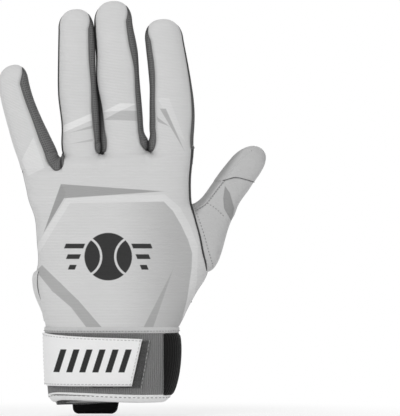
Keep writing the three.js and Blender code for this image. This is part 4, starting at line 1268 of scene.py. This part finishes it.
def makeHandSeams():
    # The dark seam down the thumb's side of the hand and the pale one down the other side
    z = np.linspace(handSewing["rollTop"], 75, 120)
    x = rightEdge(z) - mix(0.95, 0.55, smooth(116, 108, z))
    path = np.stack([x, -handHeight(x, z, -1) - 0.1, z], 1)
    radius = mix(handSewing["rollRadius"], handSewing["rollThin"], smooth(116, 104, z))
    radius = radius * np.sqrt(np.clip((z - 74) / 6, 0.12, 1))
    piece = roll("hand_seam_right", path, radius, (0, -1.0, 0), finishes["darkRoll"])
    follow(piece, "binding", "hand")
    z = np.linspace(75.5, handSewing["rollFoot"], 60)
    path = np.stack([rightEdge(z) - 0.2, 0 * z - 0.6, z], 1)
    piece = roll("hand_seam_lower", path, 0.4, (0, -1.0, 0), finishes["paleRoll"])
    follow(piece, "binding", "hand")

    # A short leather roll closes the foot of the thumb's root
    share = np.linspace(-1, 1, 30)
    x = rightEdge(74 + 0 * share) - 0.5 - 0.9 * share ** 2
    path = np.stack([x, 4.4 * share, 73.7 + 0.5 * share ** 2], 1)
    radius = 0.75 * np.sqrt(np.clip(1.03 - share ** 2, 0, 1))
    piece = roll("thumb_foot_roll", path, radius, (1.0, 0, 0), finishes["thumb"])
    follow(piece, "leather", "hand")

    # The knit back folds round onto the palm beside the lower seam: a strip from that seam to the edge
    z = np.linspace(40.2, handSewing["foldTop"], 34)[:, None]
    share = np.linspace(0, 1, 14)[None]
    x = mix(curve(handSewing["fold"], z), rightEdge(z) - 0.3, share)
    grid, _ = onHand(x, z + 0 * x, 1, 0.3)
    piece = shell("palm_fold_sheet", grid, 0.5, finishes["foldedPrint"])
    follow(piece, "knit", "hand")
    radius = 0.34 * np.sqrt(np.linspace(1, 0.05, len(grid)))
    piece = roll("palm_fold_seam", grid[:, 0], radius, (0, 1.0, 0), finishes["darkRoll"])
    follow(piece, "binding", "hand")
    z = np.linspace(132, 46, 120)
    path = np.stack([leftEdge(z) + 0.1, 0 * z - 0.3, z], 1)
    piece = roll("hand_seam_left", path, 0.45, (0, -1.0, 0), finishes["paleRoll"])
    follow(piece, "binding", "hand")

    # The leather that bulges round the lower left edge: half an oval section at each height
    z = np.linspace(handSewing["tuckFoot"], handSewing["tuckTop"], 44)[:, None]
    angle = np.linspace(-1.75, 1.75, 40)[None]
    reach = curve(handSewing["tuck"], z)
    close = np.sqrt(np.clip((handSewing["tuckTop"] - z) / 2.2, 0, 1))
    close = close * np.clip((z - handSewing["tuckFoot"]) / 3 + 0.25, 0, 1)
    base = leftEdge(z) + 2.4
    x = base - (base - reach) * rounded(np.cos(angle), 2.3) * (0.35 + 0.65 * close)
    rise = np.clip((z - handSewing["tuckFoot"]) / (handSewing["tuckTop"] - handSewing["tuckFoot"]), 0, 1)
    belly = 0.45 + 0.55 * np.sin(np.pi * 0.62 * rise)
    y = handSewing["tuckDepth"] * np.sin(angle) * belly * (0.3 + 0.7 * close)
    y = y + 0.2 * np.sin(z * 0.7 + angle * 2) * np.cos(angle)
    grid = np.stack(np.broadcast_arrays(x, y, z), -1)
    core = np.stack(np.broadcast_arrays(base + 4, 0 * y, z), -1)
    piece = shell("side_tuck_sheet", grid, 1.0, finishes["leather"], core=core)
    follow(piece, "leather", "hand")
    edge = grid[:, 5]
    piece = roll("side_tuck_seam", edge, 0.28, (0, -1.0, 0), finishes["greySeamAndPaintedShadowRoll"])
    follow(piece, "binding", "hand")


for name in fingers:
    makeStall(stalls[name])
makeHand()
makeCrotches()
makeGussetFoot()
makeThumb()
makeHandSeams()
print("hand and stalls made")


# The cuff: a tube that narrows to its mouth

cuff = {
    "mouthWidth": 66.0,
    "wristWidth": 75.5,
    "depth": 34.0,
    "height": 38.9,
    "shift": 2.2,
    "flareShare": 0.4,
    "power": 2.5,
    "palmTop": 35.5,
    "hemHeight": 4.6,
    "hemProud": 0.7,
    "hemLean": 2.4,
    "hemRadius": 34,     # turns the angle round the hem into a length for its weave
    "hemThick": 1.3,
    "hemPower": 3.4,
    "stitchHeight": 2.9,
    "hemRise": 1.5,      # how far the hem climbs on the back and falls on the palm at the little finger
    "hemFall": 1.1,
    "liningDrop": 2.4,
    "bandHeight": 3.4,
    "bandProud": 0.6,
    "gap": 0.3,
    "gussetBack": 32.0,
    "gussetPalm": 24.0,
    "gussetProud": 2.6,
    "wall": 1.3,
}


def cuffShape(z):
    share = np.clip(z / cuff["height"], 0, 1.2) ** cuff["flareShare"]
    return mix(cuff["mouthWidth"], cuff["wristWidth"], share) / 2, cuff["shift"] * share


def onCuff(angle, z, proud=0.0):
    # A superellipse round the wrist: 0 faces the thumb, -90 degrees the back and 90 the palm
    half, middle = cuffShape(z)
    x = (half + proud) * rounded(np.cos(angle), cuff["power"]) + middle
    y = (cuff["depth"] / 2 + proud) * rounded(np.sin(angle), cuff["power"])
    return np.stack(np.broadcast_arrays(x, y, z), -1)


def cuffAngle(x, z, side):
    # The angle at which the cuff's face is at a place x
    half, middle = cuffShape(z)
    share = np.clip((x - middle) / half, -1, 1)
    return side * np.arccos(rounded(share, 4 / cuff["power"]))


def cuffCore(grid):
    return grid * [0, 0, 1] + [cuff["shift"], 0, 0]


# A number as it is, or what a function gives for these places.
def valueAt(part, *places):
    return part(*places) if callable(part) else part + 0 * places[0]


def cuffSheet(name, angles, heights, proud, wall, finish, columns=60, rows=30, edge=None):
    # A sheet on the cuff between two angles and two heights, each a number or a function of the other
    # share; its border can be drawn down over the edge's reach
    u = np.linspace(0, 1, columns)[None]
    v = np.linspace(0, 1, rows)[:, None]
    foot, top = (valueAt(height, u) for height in heights)
    z = mix(foot, top, v)
    angle = mix(*(valueAt(part, z) for part in angles), u)
    lift = valueAt(proud, u, v, z)
    grid = onCuff(angle, z, lift + z * 0)
    if edge:
        across = runLength(np.swapaxes(grid, 0, 1)).T
        near = np.minimum(np.minimum(across, across[:, -1:] - across), np.minimum(z - foot, top - z))
        fall = np.sqrt(np.clip(1 - np.clip(near / edge, 0, 1), 0, 1)) ** 3
        grid = onCuff(angle, z, lift - fall * wall * 0.8 + z * 0)
    return shell(name, grid, wall, finish, core=cuffCore(grid), along=z * np.ones_like(u))


# A row of stitches along a path on the cuff, standing out of it.
def cuffStitches(name, path, slot, body, finish, *sizes):
    outwards = unit((path - cuffCore(path)) * [1, 1, 0])
    follow(stitches(name, path, outwards, finishes[finish], *sizes), slot, body)


def makeCuff():
    # The three elastic sheets overlap a little; the back and palm pucker and the gusset swells out
    foot = cuff["hemHeight"] - 0.4
    puckers = lambda u, v, z: 0.16 * np.sin(u * 61 + 2 * np.sin(v * 5)) * np.sin(v * np.pi)
    swell = lambda u, v, z: 0.5 + cuff["gussetProud"] * np.sin(np.pi * u) ** 0.5 * np.sin(np.pi * v) ** 0.45
    gussetBack = lambda lap: (lambda z: cuffAngle(cuff["gussetBack"], z, -1) + lap)
    gussetPalm = lambda lap: (lambda z: cuffAngle(cuff["gussetPalm"], z, 1) + lap)
    gussetTop = lambda u: cuff["height"] - 3.4 * smooth(0.42, 0.6, u)
    backTop, palmTop = cuff["height"] + 0.8, cuff["palmTop"] + 0.8
    for name, angles, top, proud, slot, finish, counts in (
        ("wrist_back", (-np.pi, gussetBack(0.02)), backTop, puckers, "band", "bandBack", (90, 24)),
        ("wrist_palm", (gussetPalm(-0.02), np.pi), palmTop, puckers, "band", "bandPalm", (90, 24)),
        ("wrist_gusset", (gussetBack(-0.03), gussetPalm(0.03)), gussetTop, swell, "elastic", "elastic",
         (50, 34)),
    ):
        piece = cuffSheet(name + "_sheet", angles, (foot, top), proud, cuff["wall"], finishes[finish],
                          *counts)
        follow(piece, slot, "hand", [name])


def hemShift(angle, z):
    # The hem runs askew: it climbs on the back and falls on the palm towards the little finger's end
    x = onCuff(angle, np.full_like(angle, 2.0), 0)[..., 0]
    left = smooth(24, -30, x)
    back, palm = smooth(0.1, -0.7, np.sin(angle)), smooth(-0.1, 0.7, np.sin(angle))
    return left * (cuff["hemRise"] * back - cuff["hemFall"] * palm * (1 - z / cuff["hemHeight"]))


def makeHem():
    # The mouth's hem: a folded tape whose section is a rounded box, carried round the cuff
    turn = np.linspace(0, 2 * np.pi, 25)[:-1]
    half, thick, power = cuff["hemHeight"] / 2, cuff["hemThick"], cuff["hemPower"]
    angle = np.linspace(0, 2 * np.pi, 181)[:-1]
    z = half + half * rounded(np.sin(turn), power)[:, None] + 0 * angle
    proud = cuff["hemProud"] - thick + thick * rounded(np.cos(turn), power)[:, None] + 0 * angle
    proud = proud - cuff["hemLean"] * (1 - z / cuff["hemHeight"])
    grid = onCuff(angle[None] + 0 * z, z, proud)
    grid[..., 2] += hemShift(angle, grid[..., 2])
    rows, columns = grid.shape[:2]
    faces = quads(numbered(rows, columns, True, True))
    points = grid.reshape(-1, 3)
    along = np.tile(angle * cuff["hemRadius"], (rows, 1))
    weave = np.stack([along, z, np.full(z.shape, farEdge)], -1).reshape(-1, 3)
    centre = onCuff(angle[None], np.full((1, columns), half), cuff["hemProud"] - thick - cuff["hemLean"] / 2)
    normals = np.cross(np.roll(grid, -1, 1) - grid, np.roll(grid, -1, 0) - grid)
    if np.sum(normals * (grid - centre)) < 0:
        faces = faces[:, ::-1]
    attributes = {"restPlace": points, "weave": weave}
    piece = makePiece("cuff_hem_tape", points, faces.tolist(), finishes["binding"], attributes)
    follow(piece, "binding", "hand", ["cuff_hem"])
    angle, height = np.linspace(0, 2 * np.pi, 400, endpoint=False), cuff["stitchHeight"]
    proud = cuff["hemProud"] + 0.05 - cuff["hemLean"] * (1 - height / cuff["hemHeight"])
    path = onCuff(angle, np.full(400, height), proud)
    path[:, 2] += hemShift(angle, path[:, 2])
    cuffStitches("hem_stitches", np.concatenate([path, path[:1]]), "binding", "hand", "stitch")


def makeLining():
    # The grey lining looks out below the hem on the palm side, most at the little finger's end
    low = lambda u: 0.6 - cuff["liningDrop"] * smooth(0.1, 0.55, u) * (1 - smooth(0.93, 1, u))
    proud = lambda u, v, z: -3.0 + 0 * z
    piece = cuffSheet("cuff_lining_sheet", (0.75, np.pi - 0.1), (low, 3.0), proud, 0.7,
                      finishes["bandPalm"], 80, 14)
    follow(piece, "band", "hand")


def makeBands():
    # The hand's turned lower edges, one on the back and one on the palm
    ripple = lambda u: 0.8 + 0.2 * np.sin(u * 150)
    proud = lambda u, v, z: 0.15 + cuff["bandProud"] * np.sin(np.pi * v) ** 0.5 * ripple(u)
    for name, low, foot, shift, finish in (
        ("back_band", -np.pi, cuff["height"] + cuff["gap"], 0.4, "hemBack"),
        ("palm_band", 0, cuff["palmTop"] + cuff["gap"], -0.2, "leather"),
    ):
        high, heights = low + np.pi, (foot + shift, foot + cuff["bandHeight"] + 0.5)
        piece = cuffSheet(name + "_tape", (low, high), heights, proud, 1.2, finishes[finish], 160, 12)
        follow(piece, "binding", "hand", [name])
        path = onCuff(np.linspace(low + 0.05, high - 0.05, 300), np.full(300, foot + 1.5), 0.9)
        cuffStitches(name + "_stitches", path, "binding", "hand", "stitch", 1.1, 0.7, 0.24)


strap = {
    "foot": 9.6,
    "top": 40.0,
    "endDrop": 3.7,
    "footX": 12.8,
    "topX": 19.2,
    "rootY": -1.2,
    "lift": 2.6,
    "wall": 1.3,
    "gap": 0.3,
    "borderInset": 1.1,
    "edge": 1.0,
    "loopStart": -10.0,
    "loopFootX": 19.4,
    "loopTopX": 24.7,
    "loopFoot": 8.6,
    "loopTop": 35.4,
    "hookStart": -8.0,
    "hookInset": 3.0,
}


# The slanted ends of the strap and of the loop patch, and the strap's root on the cuff.
def strapEnd(z, foot="footX", top="topX"):
    return mix(strap[foot], strap[top], (z - strap["foot"]) / (strap["top"] - strap["foot"]))


def loopEnd(z):
    return strapEnd(z, "loopFootX", "loopTopX")


def strapRoot(z):
    turn = rounded(np.array(2 * strap["rootY"] / cuff["depth"]), 4 / cuff["power"])
    return -np.pi - np.arcsin(turn) + z * 0


# How far the strap stands off the cuff: it climbs over the patches from its root.
def strapClimb(share):
    return strap["gap"] + strap["lift"] * smooth(0, 0.6, share) ** 0.9 + strap["wall"]


def backAngle(x):
    # The angle of a place x on the cuff's back, where x is a number or a function of the height
    return lambda z: cuffAngle(valueAt(x, z), z, -1)


def makeStrap():
    top = lambda u: strap["top"] - strap["endDrop"] * u
    climb = lambda u, v, z: strapClimb(u) + 0 * z
    piece = cuffSheet("strap_tape", (strapRoot, backAngle(strapEnd)), (strap["foot"], top), climb,
                      strap["wall"], finishes["strap"], 90, 40, edge=strap["edge"])
    follow(piece, "binding", "strap", ["strap"])

    # Its border is stitched inside all four edges
    u, inset = np.linspace(0, 1, 120), strap["borderInset"]
    ends = (0.02, 1 - inset / 56)
    run, low, high = mix(*ends, u), strap["foot"] + inset, strap["top"] - inset
    for key, share, z in (
        ("foot", run, low + 0 * u),
        ("top", run, high - strap["endDrop"] * run),
        ("end", ends[1] + 0 * u, mix(low, high - strap["endDrop"], u)),
        ("root", ends[0] + 0 * u, mix(low, high, u)),
    ):
        angle = mix(strapRoot(z), backAngle(strapEnd)(z), share)
        path = onCuff(angle, z, strapClimb(share) - 0.02)
        cuffStitches(f"strap_stitches_{key}", path, "binding", "strap", "paleThread", 1.5, 0.6, 0.2)

    # The hook patch under its free end and the loop patch that it closes on
    inset = strap["hookInset"]
    angles = (backAngle(strap["hookStart"]), backAngle(lambda z: strapEnd(z) - inset))
    heights = (strap["foot"] + inset, strap["top"] - strap["endDrop"] - inset)
    lift = lambda u, v, z: strap["lift"] + 0 * z
    piece = cuffSheet("hook_patch_pile", angles, heights, lift, 0.9, finishes["hook"], 40, 30)
    follow(piece, "elastic", "strap", ["hook_patch"])
    angles = (backAngle(strap["loopStart"]), backAngle(loopEnd))
    fuzz = lambda u, v, z: strap["gap"] + 0.9 + 0.12 * np.sin(u * 240) * np.sin(z * 5)
    piece = cuffSheet("loop_patch_pile", angles, (strap["loopFoot"], strap["loopTop"]), fuzz, 0.9,
                      finishes["loop"], 80, 40, edge=0.8)
    follow(piece, "loop", "hand", ["loop_patch"])
    z = np.linspace(strap["loopFoot"] + 0.5, strap["loopTop"] - 0.4, 60)
    path = onCuff(cuffAngle(loopEnd(z) - 0.7, z, -1), z, strap["gap"] + 0.95)
    cuffStitches("loop_patch_stitches", path, "loop", "hand", "stitch", 1.6, 0.8, 0.22)


tab = {
    "top": 34.2,
    "foot": -7.4,
    "topLeft": -24.2,
    "topRight": 13.1,
    "footLeft": -20.2,
    "footRight": 4.6,
    "back": 17.9,
    "wall": 1.6,
    "round": 3.0,
}


def makeTab():
    # A tapered tongue of webbing: its width falls evenly to its rounded foot, and its border is rolled
    v = columnsOf(60)[:, None]
    u = np.linspace(0, 1, 50)[None]
    z = mix(tab["foot"], tab["top"], v)
    drop = np.clip((tab["round"] - (z - tab["foot"])) / tab["round"], 0, 1)
    inset = tab["round"] * (1 - np.sqrt(np.clip(1 - drop ** 2, 0, 1)))
    left = mix(tab["footLeft"], tab["topLeft"], v) + inset
    right = mix(tab["footRight"], tab["topRight"], v) - inset
    x = mix(left, right, u)
    near = np.minimum(np.minimum(x - left, right - x), np.minimum(z - tab["foot"], tab["top"] - z))
    waves = 0.12 * np.sin(z * 0.35) * np.sin(x * 0.2)
    y = tab["back"] + tab["wall"] - 0.5 * np.exp(-((near / 0.7) ** 2)) + waves
    grid = np.stack(np.broadcast_arrays(x, y, z), -1)
    piece = shell("pull_tab_webbing", grid, tab["wall"] - 0.2, finishes["tab"], core=grid - [0, 5, 0])
    follow(piece, "tab", "tab", ["pull_tab"])


makeCuff()
makeHem()
makeLining()
makeBands()
makeStrap()
makeTab()
print("cuff, strap and tab made")


# The sewn pads

padSizes = {
    "palm": {
        "centre": (10.4, 113.5),
        "outline": [(264, 164), (276, 164.6), (289, 165.8), (302, 167), (314, 169), (324, 174.5),
                    (330, 184), (332, 194), (332.6, 206), (327.5, 216.4), (314.7, 228), (302, 237),
                    (292.2, 239.8), (282.4, 236), (269.8, 225.3), (256.5, 212.6), (246.5, 201), (246, 186),
                    (253, 171)],
        "crown": 2.9,
    },
    "fingerCrown": 2.2,
    "seat": 0.35,
    "rim": 0.5,
    "fingers": {
        "index_upper": {"stall": "index", "part": "end", "from": 27, "to": 57, "width": 14.8, "power": 2.2},
        "index_lower": {"stall": "index", "part": "base",
                        "from": 3.0, "to": 17.4, "width": 14.8, "power": 3.6},
        "middle_lower": {"stall": "middle", "part": "base",
                         "from": 3.4, "to": 22.5, "width": 14.2, "power": 3.6},
        "ring_lower": {"stall": "ring", "part": "base",
                       "from": 3.0, "to": 21.0, "width": 13.8, "power": 3.6},
    },
}


def padPiece(name, surface, crown, finish):
    # Rings from the middle out: height falls with the square of the share and ends in a rim that rolls under
    rimShares = 0.9 + 0.1 * np.sin(np.linspace(0, np.pi / 2, 7))[1:]
    shares = np.concatenate([np.linspace(0.02, 0.9, 14), rimShares])
    turn = np.linspace(0, 2 * np.pi, 97)[:-1]
    height = padSizes["rim"] + crown * (1 - shares ** 2.4)
    edge = np.clip((shares - 0.9) / 0.1, 0, 1)
    height = height * np.sqrt(np.clip(1 - edge ** 3, 0, 1))
    top, normals = surface(shares[:, None], turn[None])
    grid = top + normals * (padSizes["seat"] + height[:, None, None])
    foot = top - normals * 0.3
    count, rings = len(turn), len(shares)
    points = np.concatenate([grid.reshape(-1, 3), foot.reshape(-1, 3)])
    number = numbered(rings, count, closeColumns=True)
    upper = quads(number)[:, ::-1]
    shift = rings * count
    rim = strip(number[-1], number[-1] + shift)
    faces = np.concatenate([upper, upper[:, ::-1] + shift, rim])
    normal = np.cross(points[faces[0, 1]] - points[faces[0, 0]], points[faces[0, 2]] - points[faces[0, 0]])
    caps = [number[0, :-1].tolist(), (number[0, :-1][::-1] + shift).tolist()]
    if normal @ normals[0, 0] < 0:
        faces = faces[:, ::-1]
        caps = [caps[0][::-1], caps[1][::-1]]
    # The distance from the rim darkens the leather towards it: painted shade in the groove round the pad
    away = np.repeat((1 - shares)[:, None] * 9 + 0.15, count, 1)
    weave = np.stack([grid[..., 0], grid[..., 2], away], -1).reshape(-1, 3)
    attributes = {"restPlace": np.tile(grid.reshape(-1, 3), (2, 1)), "weave": np.tile(weave, (2, 1))}
    return makePiece(name, points, faces.tolist() + caps, finish, attributes)


def outlineRound(points, turn):
    # A smooth closed outline through its points, read by its length as a turn from 0 to 2 pi
    ring = np.concatenate([points[-2:], points, points[:3]])
    lengths = runLength(ring)
    whole = lengths[-3] - lengths[2]
    at = lengths[2] + np.mod(turn, 2 * np.pi) / (2 * np.pi) * whole
    return [curve(np.stack([lengths, ring[:, k]], 1), at) for k in (0, 1)]


def makePalmPad():
    centre = np.array(padSizes["palm"]["centre"])
    outline = fromPhoto(padSizes["palm"]["outline"], True)

    def surface(share, turn):
        x, z = outlineRound(outline, turn)
        return onHand(mix(centre[0], x, share), mix(centre[1], z, share), 1)

    piece = padPiece("palm_pad_leather", surface, padSizes["palm"]["crown"], finishes["pad"])
    follow(piece, "leather", "hand", ["palm_pad"])
    turn = np.linspace(0, 2 * np.pi, 240)
    path, normals = surface(np.full(240, 1.035), turn)
    follow(stitches("palm_pad_stitches", path + normals * 0.15, normals, finishes["dot"]), "leather", "hand")


def stallSurface(stall, at, offset):
    # Points and normals of a stall's palm side at places along it and offsets across it
    width = curve(stall["widths"], at) / 2
    depth = mix(*stall["depths"], at / stall["length"]) / 2
    share = np.clip(offset / width, -0.97, 0.97)
    power = section["power"]
    y = depth * bulge(share, power)
    slope = -depth / width * np.sign(share) * np.abs(share) ** (power - 1)
    slope = slope * bulge(share, power) ** (1 - power)
    bow = curve(stall["bow"], at)
    points = stall["root"] + at[..., None] * stall["along"] + (offset + bow)[..., None] * stall["across"]
    points[..., 1] = y
    normals = unit(-slope[..., None] * stall["across"] + np.array([0, 1.0, 0]))
    return points, normals


def makeFingerPads():
    for name, pad in padSizes["fingers"].items():
        stall = stalls[pad["stall"]]
        middle, half = (pad["from"] + pad["to"]) / 2, (pad["to"] - pad["from"]) / 2

        def surface(share, turn):
            power = pad["power"]
            at = middle + half * share * rounded(np.sin(turn), power)
            offset = pad["width"] / 2 * share * rounded(np.cos(turn), power)
            return stallSurface(stall, at, offset)

        body = f"{pad['stall']}_{pad['part']}"
        isBase = pad["part"] == "base"
        bodies = ("hand" if isBase else f"{pad['stall']}_base", body)
        zone = zonesOf(stall)[0 if isBase else 1]
        piece = padPiece(f"{name}_pad_leather", surface, padSizes["fingerCrown"], finishes["pad"])
        follow(piece, "leather", bodies, [f"{name}_pad"], zone)
        turn = np.linspace(0, 2 * np.pi, 200)
        path, normals = surface(np.full(200, 1.09), turn)
        path = path + normals * 0.12
        row = stitches(f"{name}_pad_stitches", path, normals, finishes["dot"], 1.2, 1.0, 0.22)
        follow(row, "leather", bodies, (), zone)


makePalmPad()
makeFingerPads()
print("pads made")


# Camera, floor and light

view = {"distance": 3000.0, "sensor": 36.0}
stage = {"floor": -8.6, "reach": 6000.0, "clear": 260.0, "world": 0.42, "aim": (10, 0, 110)}
lamps = {
    "key": {"place": (-500, -1300, 800), "size": 800, "energy": 7.8},
    "fill": {"place": (900, -1100, 300), "size": 900, "energy": 1.7},
    "top": {"place": (-100, 100, 1300), "size": 900, "energy": 2.4},
    "back": {"place": (500, 1300, 700), "size": 800, "energy": 7.8},
    "backFill": {"place": (-800, 1100, 200), "size": 900, "energy": 2.6},
}


# 1 on a ray of either of two kinds.
def eitherRay(tree, first, second):
    path = tree.nodes.new("ShaderNodeLightPath")
    seen = tree.nodes.new("ShaderNodeMath")
    seen.operation = "MAXIMUM"
    tree.links.new(path.outputs[first], seen.inputs[0])
    tree.links.new(path.outputs[second], seen.inputs[1])
    return seen.outputs[0]


def makeCamera(scene):
    camera = bpy.data.objects.new("photoCamera", bpy.data.cameras.new("photoCamera"))
    scene.collection.objects.link(camera)
    middle = fromPhoto([(photo["width"] / 2, photo["height"] / 2)])[0]
    camera.location = Vector((middle[0], -view["distance"], middle[1])) * mm
    camera.rotation_euler = (math.pi / 2, 0, 0)
    long = max(photo["width"], photo["height"]) * photo["pixel"]
    camera.data.sensor_width = view["sensor"]
    camera.data.lens = view["sensor"] * view["distance"] / long
    camera.data.clip_start, camera.data.clip_end = 0.01, 50
    scene.camera = camera


def makeFloor(scene):
    # A pale floor: it takes shadows near the glove and glows like the background further off
    reach = stage["reach"] * mm
    mesh = bpy.data.meshes.new("floor")
    z = stage["floor"] * mm
    corners = [(-reach, -reach, z), (reach, -reach, z), (reach, reach, z), (-reach, reach, z)]
    mesh.from_pydata(corners, [], [(0, 1, 2, 3)])
    floor = bpy.data.objects.new("floor", mesh)
    scene.collection.objects.link(floor)
    material = bpy.data.materials.new("paleFloor")
    material.use_nodes = True
    tree = material.node_tree
    shader = tree.nodes["Principled BSDF"]
    shader.inputs["Base Color"].default_value = grey(250)
    shader.inputs["Roughness"].default_value = 0.9
    glow = tree.nodes.new("ShaderNodeEmission")
    glow.inputs["Color"].default_value = (1, 1, 1, 1)
    place = tree.nodes.new("ShaderNodeTexCoord")
    length = tree.nodes.new("ShaderNodeVectorMath")
    length.operation = "LENGTH"
    tree.links.new(place.outputs["Object"], length.inputs[0])
    fade = tree.nodes.new("ShaderNodeMapRange")
    fade.interpolation_type = "SMOOTHSTEP"
    fade.inputs["From Min"].default_value = stage["clear"] * mm * 0.4
    fade.inputs["From Max"].default_value = stage["clear"] * mm
    fade.inputs["To Min"].default_value = 0.5
    tree.links.new(length.outputs["Value"], fade.inputs["Value"])
    share = tree.nodes.new("ShaderNodeMath")
    share.operation = "MULTIPLY"
    tree.links.new(fade.outputs[0], share.inputs[0])
    tree.links.new(eitherRay(tree, "Is Camera Ray", "Is Glossy Ray"), share.inputs[1])
    both = tree.nodes.new("ShaderNodeMixShader")
    tree.links.new(share.outputs[0], both.inputs[0])
    tree.links.new(shader.outputs[0], both.inputs[1])
    tree.links.new(glow.outputs[0], both.inputs[2])
    tree.links.new(both.outputs[0], tree.nodes["Material Output"].inputs["Surface"])
    floor.data.materials.append(material)


def makeWorld(scene):
    world = bpy.data.worlds.new("studio")
    scene.world = world
    world.use_nodes = True
    tree = world.node_tree
    back = tree.nodes["Background"]
    level = tree.nodes.new("ShaderNodeMapRange")
    level.inputs["To Min"].default_value = stage["world"]
    level.inputs["To Max"].default_value = 1.0
    tree.links.new(eitherRay(tree, "Is Camera Ray", "Is Transmission Ray"), level.inputs["Value"])
    tree.links.new(level.outputs[0], back.inputs["Strength"])
    back.inputs["Color"].default_value = (1, 1, 1, 1)
    scene.view_settings.view_transform = "Standard"


def makeLamps(scene):
    for name, light in lamps.items():
        data = bpy.data.lights.new(name, "AREA")
        data.shape, data.size, data.energy = "DISK", light["size"] * mm, light["energy"]
        lamp = bpy.data.objects.new(name, data)
        scene.collection.objects.link(lamp)
        lamp.location = Vector(light["place"]) * mm
        aim = Vector(stage["aim"]) * mm - lamp.location
        lamp.rotation_euler = aim.to_track_quat("-Z", "Y").to_euler()


for make in (makeCamera, makeFloor, makeWorld, makeLamps):
    make(bpy.context.scene)
